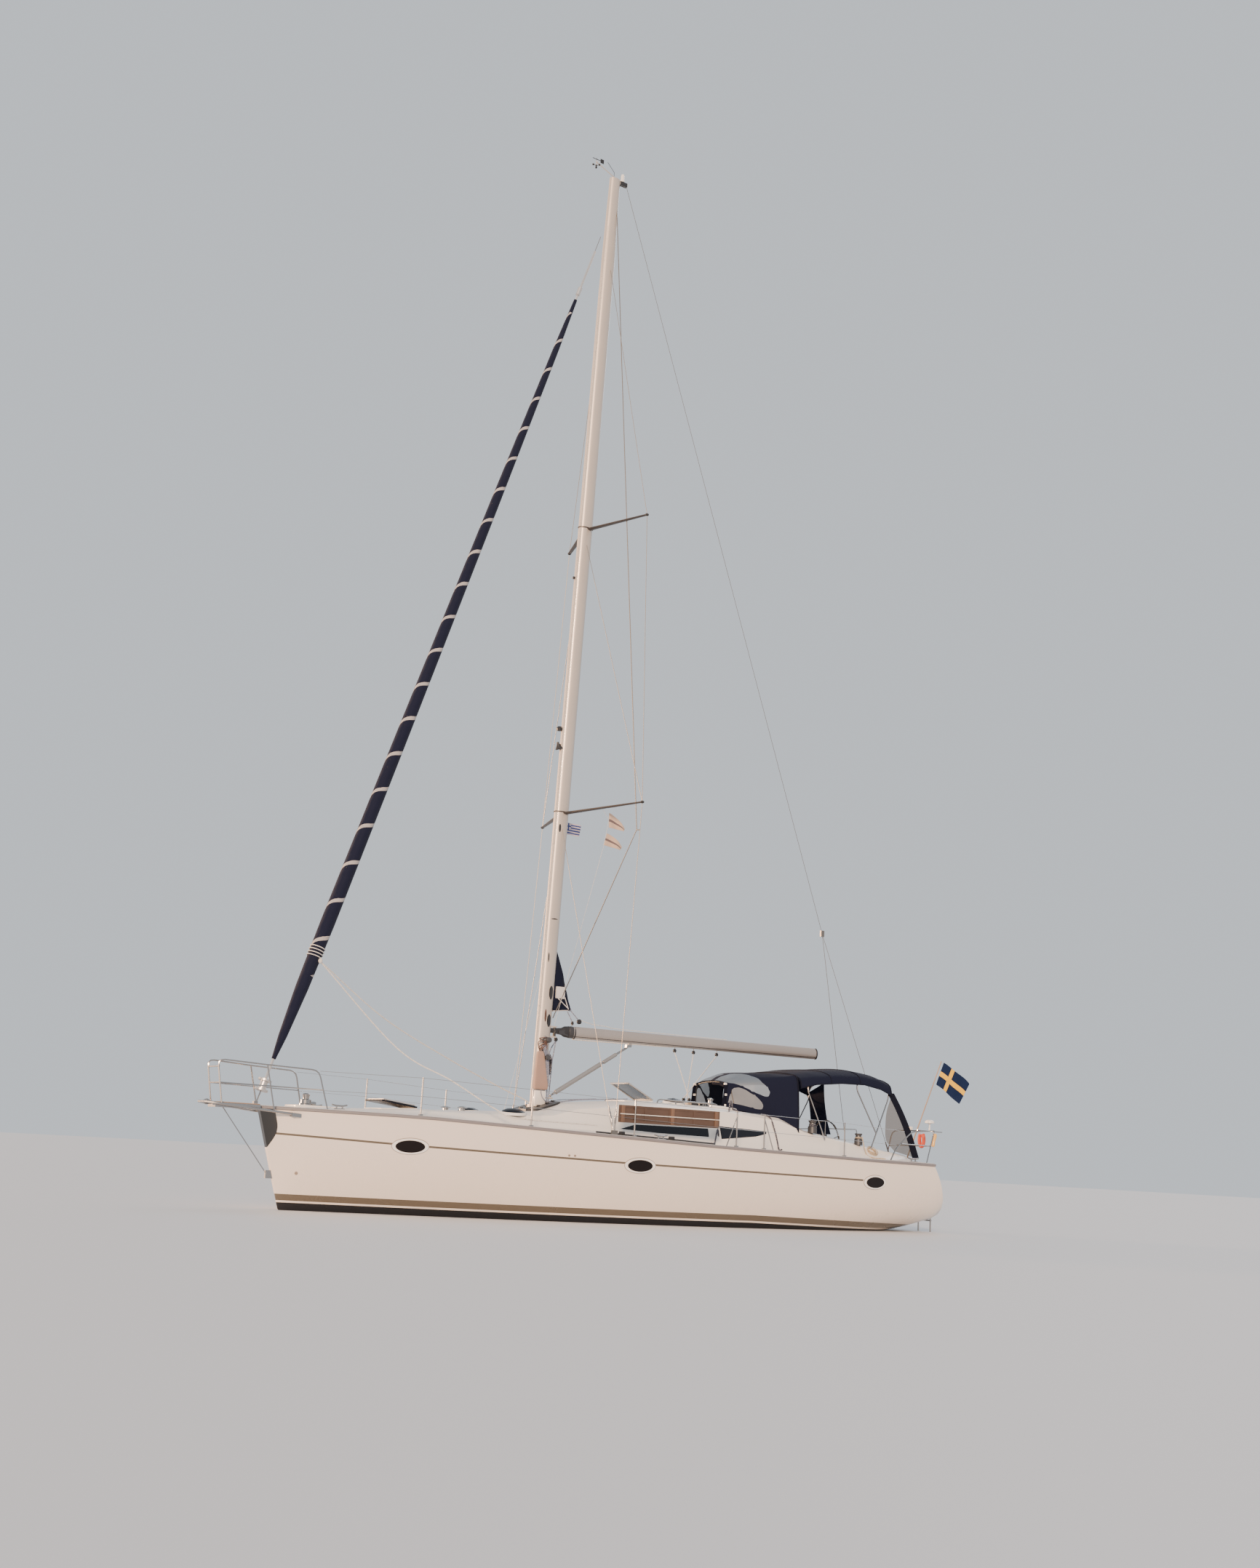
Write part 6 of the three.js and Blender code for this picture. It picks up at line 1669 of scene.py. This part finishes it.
@dataclass
class Canopies:
    """Sprayhood and sun canopy, each one curved sheet, with their windows, frames and seams."""

    # Each row: x, half breadth, height of the foot, of the shoulder and of the crown
    hood: Rows = (
        (-2.27, 0.5, 2.04, 2.49, 2.56), (-2.45, 0.64, 2.03, 2.54, 2.66),
        (-2.7, 0.82, 2.0, 2.58, 2.745), (-3.0, 1.005, 1.9, 2.61, 2.77),
        (-3.28, 1.14, 1.78, 2.65, 2.78), (-3.44, 1.21, 1.7, 2.68, 2.795),
    )
    canopy: Rows = (
        (-3.4405, 1.21, 2.5, 2.68, 2.795), (-3.8, 1.24, 2.59, 2.75, 2.86),
        (-4.4, 1.25, 2.65, 2.81, 2.93), (-4.95, 1.255, 2.66, 2.83, 2.97),
        (-5.35, 1.255, 2.6, 2.79, 2.93), (-5.655, 1.24, 2.5, 2.7, 2.85),
    )
    # Each point of a window's outline: x and the share of the arch from the port foot
    windows: Rows = (
        ("roof", ((-2.31, 0.472), (-2.31, 0.25), (-2.345, 0.218), (-2.455, 0.182), (-2.585, 0.155),
                 (-2.715, 0.128), (-2.855, 0.113), (-2.915, 0.114), (-2.945, 0.138), (-2.9, 0.16),
                 (-2.815, 0.195), (-2.76, 0.27), (-2.72, 0.35), (-2.67, 0.43), (-2.645, 0.472))),
        ("side", ((-2.31, 0.062), (-2.322, 0.1), (-2.35, 0.138), (-2.39, 0.158), (-2.455, 0.163),
                 (-2.56, 0.146), (-2.65, 0.122), (-2.745, 0.1), (-2.81, 0.077), (-2.835, 0.058),
                 (-2.812, 0.036), (-2.715, 0.03), (-2.585, 0.04), (-2.425, 0.048))),
    )
    girth: float = 3.0
    cells: tuple[int, int] = (40, 104)
    snap: float = 0.0165
    # Each row: x, y and height along the aft strap and the edges of the panels beside it
    strap: Rows = ((-5.635, 1.22, 2.55), (-5.844, 1.24, 2.232), (-6.039, 1.27, 1.851), (-6.225, 1.3, 1.365))
    clear: Rows = ((-5.655, 1.21, 2.475), (-5.536, 1.23, 2.214), (-5.49, 1.25, 1.951), (-5.497, 1.27, 1.66),
                   (-5.7, 1.28, 1.47))
    closed: Rows = ((-5.6, 1.22, 2.56), (-5.677, 1.23, 2.206), (-5.713, 1.23, 1.932), (-5.756, 1.23, 1.741))
    corner: Rows = ((-5.636, 0.76, 2.757), (-5.729, 0.85, 2.487), (-5.883, 0.98, 2.22), (-6.039, 1.1, 2.006),
                    (-6.215, 1.2, 1.765))
    flap: Rows = ((-2.275, 0.497, 2.49), (-2.262, 0.497, 2.37), (-2.25, 0.497, 2.25), (-2.225, 0.497, 2.1))

    def build(self) -> None:
        """Makes the two canopies with their windows, frames, seams and straps."""
        shape, panes = self.hood_grid()
        bmesh.ops.delete(shape.bm, geom=list(panes["roof"] | panes["side"]), context="FACES")
        self.hang("sprayhood_cloth", shape, "sprayhood", (3.9, 1.5))
        sheet = Shape()
        rings = [sheet.line(self.arch(self.canopy, x, -0.002)) for x in self.stations(self.canopy)]
        for low, high in zip(rings, rings[1:]):
            bmesh.ops.bridge_loops(sheet.bm, edges=low + high)
        for vert in sheet.bm.verts:
            vert.co.z -= self.slack(vert.co, 0.007)
        self.hang("sun_canopy_cloth", sheet, "bimini", (3.4, 2.5))
        # The roof windows take the vinyl tinted as a painted reflection of the sky
        for name, key in (("roof", "sky_reflection"), ("side", "vinyl")):
            self.pane(name, key)
        self.bindings()
        self.frame()
        self.straps()

    def arch(self, rows: Rows, x: float, lift: float = 0.0) -> list[Vector]:
        """The cloth's line across the boat at x.

        Args:
            rows: The canopy's rows.
            x: Where it is cut.
            lift: How far outside the CAD line it lies.

        Returns:
            Points from the port foot to the starboard foot.
        """
        half, foot, shoulder, crown = (lerp_table(rows, x, column) for column in (1, 2, 3, 4))
        half += lift
        control = [(half, foot), (half * 0.985, (foot + shoulder) / 2), (half * 0.93, shoulder + lift),
                   (half * 0.72, shoulder + (crown - shoulder) * 0.62 + lift),
                   (half * 0.38, shoulder + (crown - shoulder) * 0.93 + lift), (0.0, crown + lift)]
        mirrored = [(-y, z) for y, z in reversed(control[:-1])]
        return smooth_path([(x, y, z) for y, z in control + mirrored], 4)

    def slack(self, at: Vector, deep: float) -> float:
        """How far the cloth sinks between its bows."""
        return deep * math.sin(at.x * 9.0) ** 2 * math.cos(at.y * 1.2)

    def hood_point(self, at: Vector) -> Vector:
        """A point of the hood's cloth, by x and the share of the arch."""
        line = self.arch(self.hood, at.x, -0.002)
        along = min(max(at.y, 0.0), 1.0) * (len(line) - 1)
        k = min(int(along), len(line) - 2)
        point = line[k].lerp(line[k + 1], along - k)
        point.z -= self.slack(point, 0.006)
        return point

    def snapped(self, at: Vector, outlines: Sequence[Sequence[Vector]]) -> Vector:
        """Moves a grid point that is near a window's edge onto the edge."""
        wide = Vector((1.0, self.girth))
        here, best, reach = at * wide, at, self.snap
        for outline in outlines:
            for a, b in zip(outline, [*outline[1:], outline[0]]):
                _, share = intersect_point_line(here, a * wide, b * wide)
                near = (a * wide).lerp(b * wide, min(max(share, 0.0), 1.0))
                if (near - here).length < reach:
                    best, reach = Vector((near.x, near.y / self.girth)), (near - here).length
        return best

    def hood_grid(self) -> tuple[Shape, dict[str, set[bmesh.types.BMFace]]]:
        """The hood's whole surface as a grid that follows its windows' edges.

        Returns:
            The surface, and the faces inside each kind of window.
        """
        shape = Shape()
        bm = shape.bm
        bmesh.ops.create_grid(bm, x_segments=self.cells[0], y_segments=self.cells[1], size=0.5)
        front, back = self.hood[0][0], self.hood[-1][0]
        both = {name: [[Vector((x, v)) for x, v in outline], [Vector((x, 1 - v)) for x, v in outline]]
                for name, outline in self.windows}
        every = [outline for pair in both.values() for outline in pair]
        at = {vert: self.snapped(Vector((front + (back - front) * (vert.co.x + 0.5), vert.co.y + 0.5)), every)
              for vert in bm.verts}
        middles = {face: sum((at[vert] for vert in face.verts), Vector((0, 0))) / len(face.verts) for face in bm.faces}
        panes = {name: {face for face, middle in middles.items() if any(inside(outline, middle) for outline in pair)}
                 for name, pair in both.items()}
        for vert, place in at.items():
            vert.co = self.hood_point(place)
        return shape, panes

    def hang(self, name: str, shape: Shape, node: str, flat: Point2) -> None:
        """Makes one canopy's cloth from its surface.

        Args:
            name: The piece's name.
            shape: The surface.
            node: The CAD node that it stands for.
            flat: The cloth's width and length.
        """
        piece = shape.finish(name, "navy", slot="navy_cloth", sharp=80, fix_normals=False)
        area = thicken(piece, 0.006)
        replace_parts(piece, node)
        min(area, flat[0] * flat[1])

    def stations(self, rows: Rows, step: float = 0.12) -> list[float]:
        """Places along a canopy, close together and on each row."""
        xs = sorted({row[0] for row in rows}, reverse=True)
        places = []
        for high, low in zip(xs, xs[1:]):
            count = max(1, round((high - low) / step))
            places += [high + (low - high) * k / count for k in range(count)]
        return [*places, xs[-1]]

    def pane(self, name: str, key: str) -> None:
        """Makes the clear panes of one kind of window, port and starboard."""
        shape, panes = self.hood_grid()
        rim = {face for keeper in panes[name] for edge in keeper.edges for face in edge.link_faces}
        bmesh.ops.delete(shape.bm, geom=[face for face in shape.bm.faces if face not in rim], context="FACES")
        pane = shape.finish(f"sprayhood_{name}_windows", key, sharp=80, fix_normals=False)

    def bindings(self) -> None:
        """Makes the bound edges and seams across the canopies."""
        shape = Shape()
        for rows, places in ((self.hood, ((-2.275, 0.01), (-3.42, 0.01))),
                             (self.canopy, ((-3.46, 0.01), (-4.15, 0.006), (-4.85, 0.006), (-5.64, 0.01)))):
            for x, radius in places:
                shape.tube(self.arch(rows, x, 0.003), radius)
            for side in Side:
                shape.tube([(x, side.value * lerp_table(rows, x, 1), lerp_table(rows, x, 2))
                            for x in self.stations(rows)], 0.009)
        shape.finish("canopy_bindings", "binding", slot="navy_cloth")

    def frame(self) -> None:
        """Makes the hood's front bow, its fittings and the flap rolled up under its edge."""
        bow = Shape().tube(self.arch(self.hood, -2.295, -0.024), 0.0125, 10)
        bow.finish("sprayhood_bow", "dark", slot="stainless")
        fittings = Shape()
        for y, z in ((0.478, 2.505), (0.492, 2.31), (0.492, 2.12)):
            for side in Side:
                fittings.pad((-2.26, side.value * y, z), (0.025, 0.02), (-0.02, 0.02), 0.006)
        fittings.finish("sprayhood_fittings", "white")
        roll = Shape().curve([(-2.262, 0.455, 2.47), (-2.258, 0.3, 2.508), (-2.258, 0.09, 2.52)], 0.026, 12)
        roll.finish("sprayhood_rolled_flap", "binding", slot="navy_cloth")

    def straps(self) -> None:
        """Makes the sun canopy's straps, the hood's front flaps and the panels beside the straps."""
        for side, first, second, key in ((Side.PORT, self.strap, self.clear, "vinyl"),
                                         (Side.STBD, self.corner, self.closed, "navy")):
            for name, rows, width in (("aft_strap", self.strap, 0.17), ("front_flap", self.flap, 0.1)):
                strip = self.strip(sided(rows, side), width)
                strip.finish(f"{name}_{side.label}", "binding", slot="navy_cloth")
            panel = Shape()
            edges = [edge for rows in (first, second) for edge in panel.line(self.even(sided(rows, side), 20))]
            bmesh.ops.bridge_loops(panel.bm, edges=edges)
            piece = panel.finish(f"aft_panel_{side.label}", key, sharp=80, fix_normals=False)

    def even(self, points: Sequence[Point], count: int) -> list[Vector]:
        """A curve through points, cut into even steps."""
        path = smooth_path(points, 10)
        far = [0.0]
        for a, b in zip(path, path[1:]):
            far.append(far[-1] + (b - a).length)
        rows = [(d, *p) for d, p in zip(far, path)]
        return [Vector(lerp_table(rows, far[-1] * k / count, column) for column in (1, 2, 3)) for k in range(count + 1)]

    def strip(self, points: Sequence[Point], width: float) -> Shape:
        """Makes a flat strip of cloth that follows points, its width fore and aft."""
        shape = Shape()
        bm = shape.bm
        path = smooth_path(points, 5)
        edge, = shape.line(path[0] + Vector((offset, 0, 0)) for offset in (-width / 2, width / 2))
        for before, after in zip(path, path[1:]):
            grown = bmesh.ops.extrude_edge_only(bm, edges=[edge])["geom"]
            edge = next(g for g in grown if isinstance(g, bmesh.types.BMEdge) and all(v in grown for v in g.verts))
            bmesh.ops.translate(bm, vec=after - before, verts=list(edge.verts))
        bmesh.ops.solidify(bm, geom=bm.faces[:], thickness=0.004)
        return shape


def sided(rows: Rows, side: Side) -> list[Point]:
    """Points given for port, on either side."""
    return [(x, side.value * y, z) for x, y, z in rows]


@dataclass
class SternGear:
    """Aerials, the buoy and the lamp on the stern rail."""

    aerial: Profile = ((0, 0.085), (0.055, 0.08), (0.088, 0.055), (0.092, 0.02), (0.03, 0.01), (0.015, -0.01),
                       (0.015, -0.12), (0, -0.12))
    lamp: Profile = ((0, 0.26), (0.028, 0.25), (0.04, 0.2), (0.03, 0.1), (0.038, 0.03), (0.03, 0.0), (0, 0.0))

    def build(self) -> None:
        """Makes the stern's gear on the port rail."""
        Shape().turned(self.aerial, (-6.575, 1.3, 2.02), UP, 20).finish("mushroom_aerial", "white")
        bar = Shape().tube([(-6.26, 1.3, 1.895), (-6.9, 1.3, 1.885)], 0.012, 8)
        bar.finish("aerial_bar", "steel", slot="stainless")
        turns = [math.radians(125 + 290 * i / 21) for i in range(22)]
        path = [(-6.372, 1.3 + 0.06 * math.cos(a), 1.717 + 0.125 * math.sin(a)) for a in turns]
        Shape().tube(path, 0.036, 12).finish("horseshoe_buoy", "buoy")
        Shape().turned(self.lamp, (-6.66, 1.3, 1.6), (-0.28, 0, 1), 18).finish("buoy_lamp", "amber")
        Shape().box((-6.5, 0.86, 1.9), (-6.44, 0.92, 1.965), 0.012).finish("stern_lamp", "white")


@dataclass(frozen=True)
class Flag:
    """One waving flag.

    Its hoist's top and bottom, the way it streams, its height and length, the depth of its waves, how far its free
    end sinks, the piece that holds it (not used), a shift of its waves, and how far its free end is gathered at its
    lower edge.
    """

    name: str
    key: str
    top: Point
    bottom: Point
    fly: Point
    size: Point2
    wave: float
    drop: float
    rests_on: str
    shift: float
    taper: float = 0.0

    def build(self) -> None:
        """Makes the flag."""
        shape = Shape()
        bmesh.ops.create_grid(shape.bm, x_segments=24, y_segments=12, size=0.5, calc_uvs=False)
        uv = shape.bm.loops.layers.uv.new("cloth")
        for face in shape.bm.faces:
            for loop in face.loops:
                loop[uv].uv = (loop.vert.co.x + 0.5, loop.vert.co.y + 0.5)
        top, bottom, away = Vector(self.top), Vector(self.bottom), Vector(self.fly).normalized()
        across = away.cross(top - bottom).normalized()
        for vert in shape.bm.verts:
            u, v = vert.co.x + 0.5, vert.co.y + 0.5
            swing = self.wave * u ** 0.7 * math.sin(u * 7.0 + v * 1.6 + self.shift)
            reach = u * self.size[1] * (0.97 - 0.1 * (1 - v))
            hoist = bottom.lerp(top, v * (1 - self.taper * u ** 1.5))
            vert.co = hoist + away * reach + across * swing - Vector((0, 0, self.drop * u * u))
        piece = shape.finish(self.name, self.key, sharp=80, fix_normals=False)
        area = min(thicken(piece, 0.0015), self.size[0] * self.size[1])


@dataclass
class Flags:
    """The ensign and the small flags under the spreader, with the lines that hold these."""

    flags: tuple[Flag, ...] = (
        Flag("ensign", "ensign", (-7.02, 1.204, 3.235), (-6.83, 1.19, 2.79), (-0.345, 0.353, -0.297), (0.49, 0.6),
             0.05, 0.1, "ensign_staff", 0.4),
        Flag("burgee_upper", "burgee", (0.794, 0.8, 7.08), (0.785, 0.8, 6.81), (-1.0, 0.0, 0.02), (0.27, 0.36),
             0.02, 0.03, "flag_line_port", 1.2, 0.8),
        Flag("burgee_lower", "burgee", (0.816, 0.8, 6.705), (0.872, 0.8, 6.48), (-1.0, 0.0, -0.04), (0.25, 0.4),
             0.02, 0.03, "flag_line_port", 2.0, 0.7),
        Flag("courtesy_flag", "courtesy", (1.02, -0.3, 7.02), (1.02, -0.3, 6.8), (-0.98, 0.0, 0.03), (0.22, 0.33),
             0.02, 0.02, "flag_line_stbd", 0.2),
    )
    lines: Rows = (
        ("port", ((0.98, 0.85, 7.13), (0.79, 0.8, 6.95), (0.872, 0.8, 6.45), (1.3, 0.2, 3.3))),
        ("stbd", ((1.16, -0.3, 7.1), (1.02, -0.3, 7.02), (1.02, -0.3, 6.78), (1.18, -0.6, 4.2),
                  (1.2, -1.66, 1.62))),
    )

    def build(self) -> None:
        """Makes the flags and their lines."""
        for flag in self.flags:
            flag.build()
        for name, points in self.lines:
            Shape().tube(points, 0.003).finish(f"flag_line_{name}", "rope_white")


# Studio


@dataclass
class Studio:
    """Floor at the waterline, soft light and the camera of the photograph."""

    place: Point = (16.6054, 25.9338, 1.0803)
    focal_px: float = 2330.91
    yaw: float = 0.5732
    pitch: float = 0.217
    roll: float = 0.0532
    floor_half: float = 240.0
    floor_colour: Colour = (0.66, 0.67, 0.69)
    sky: Colour = (0.86, 0.91, 0.97)
    sky_strength: float = 0.8
    # Each row: name, where it stands, colour, strength, spread in degrees
    suns: Rows = (
        ("key", (16.0, 20.0, 8.0), (1.0, 0.68, 0.45), 4.4, 10.0),
        ("rim", (-18.0, -12.0, 16.0), (0.8, 0.88, 1.0), 0.5, 30.0),
        ("glow", (12.0, -14.0, 0.6), (1.0, 0.58, 0.31), 6.0, 6.0),
    )

    def build(self) -> None:
        """Makes the floor, the lights and the camera."""
        self.floor()
        self.lights()
        self.camera()

    def added(self, name: str, data: bpy.types.ID) -> bpy.types.Object:
        """Puts an object on the stage."""
        piece = bpy.data.objects.new(name, data)
        bpy.context.scene.collection.objects.link(piece)
        return piece

    def floor(self) -> None:
        """Makes the plain pale floor."""
        bm = bmesh.new()
        bmesh.ops.create_grid(bm, x_segments=1, y_segments=1, size=self.floor_half)
        mesh = bpy.data.meshes.new("floor")
        bm.to_mesh(mesh)
        bm.free()
        mesh.materials.append(Finish("floor_matt", self.floor_colour, 0.6, mottle=0.0, relief=0.0).build())
        self.added("floor", mesh)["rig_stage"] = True

    def lights(self) -> None:
        """Makes a low warm key light and a pale sky."""
        world = bpy.data.worlds.new("pale_sky")
        bpy.context.scene.world = world
        world.use_nodes = True
        background = world.node_tree.nodes["Background"]
        background.inputs["Color"].default_value = (*self.sky, 1.0)
        background.inputs["Strength"].default_value = self.sky_strength
        for name, where, colour, strength, spread in self.suns:
            lamp = bpy.data.lights.new(name, "SUN")
            lamp.color = colour
            lamp.energy = strength
            lamp.angle = math.radians(spread)
            holder = self.added(name, lamp)
            holder.rotation_mode = "QUATERNION"
            holder.rotation_quaternion = Vector(where).to_track_quat("Z", "Y")

    def camera(self) -> None:
        """Makes the camera as fitted to the photograph."""
        data = bpy.data.cameras.new("camera")
        data.sensor_fit = "AUTO"
        data.sensor_width = SENSOR
        data.lens = self.focal_px * SENSOR / IMAGE_HIGH
        data.clip_start, data.clip_end = 0.1, 2000.0
        level = Vector((-math.sin(self.yaw), -math.cos(self.yaw), 0.0))
        side = Vector((-math.cos(self.yaw), math.sin(self.yaw), 0.0))
        ahead = level * math.cos(self.pitch) + Vector((0, 0, math.sin(self.pitch)))
        above = Vector((0, 0, math.cos(self.pitch))) - level * math.sin(self.pitch)
        right = side * math.cos(self.roll) + above * math.sin(self.roll)
        up = above * math.cos(self.roll) - side * math.sin(self.roll)
        camera = self.added("camera", data)
        camera.matrix_world = Matrix.Translation(self.place) @ Matrix((right, up, -ahead)).transposed().to_4x4()
        bpy.context.scene.camera = camera


def write_sizes(cad: tuple[Vector, Vector]) -> None:
    """Measures the finished object's box and pairs it with the CAD box, keeping neither.

    Args:
        cad: The lowest and highest corner straight after loading.
    """
    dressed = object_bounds()
    {"cad": [list(cad[0]), list(cad[1])], "visual": [list(dressed[0]), list(dressed[1])]}


def main() -> None:
    """Builds the boat's looks in order."""
    logging.basicConfig(level=logging.INFO, format="%(message)s")
    FRAME.update(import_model()["nodes"])
    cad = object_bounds()
    Studio().build()
    hull, deck, mast = Skin("hull"), Skin("deck", "hull"), Skin("mast")
    dress(STRUCTURE)
    Portholes(hull).build()
    HullFittings(hull, deck).build()
    Foredeck(deck).build()
    dress(RIG)
    for assembly in (MastGear(mast), Headsail(), Boom(), MastFoot(), Rails(), Coachroof(deck), Cockpit(deck),
                     Canopies(), SternGear(), Flags()):
        assembly.build()
        log.info("made %s", type(assembly).__name__)
    write_sizes(cad)


if __name__ == "__main__":
    main()
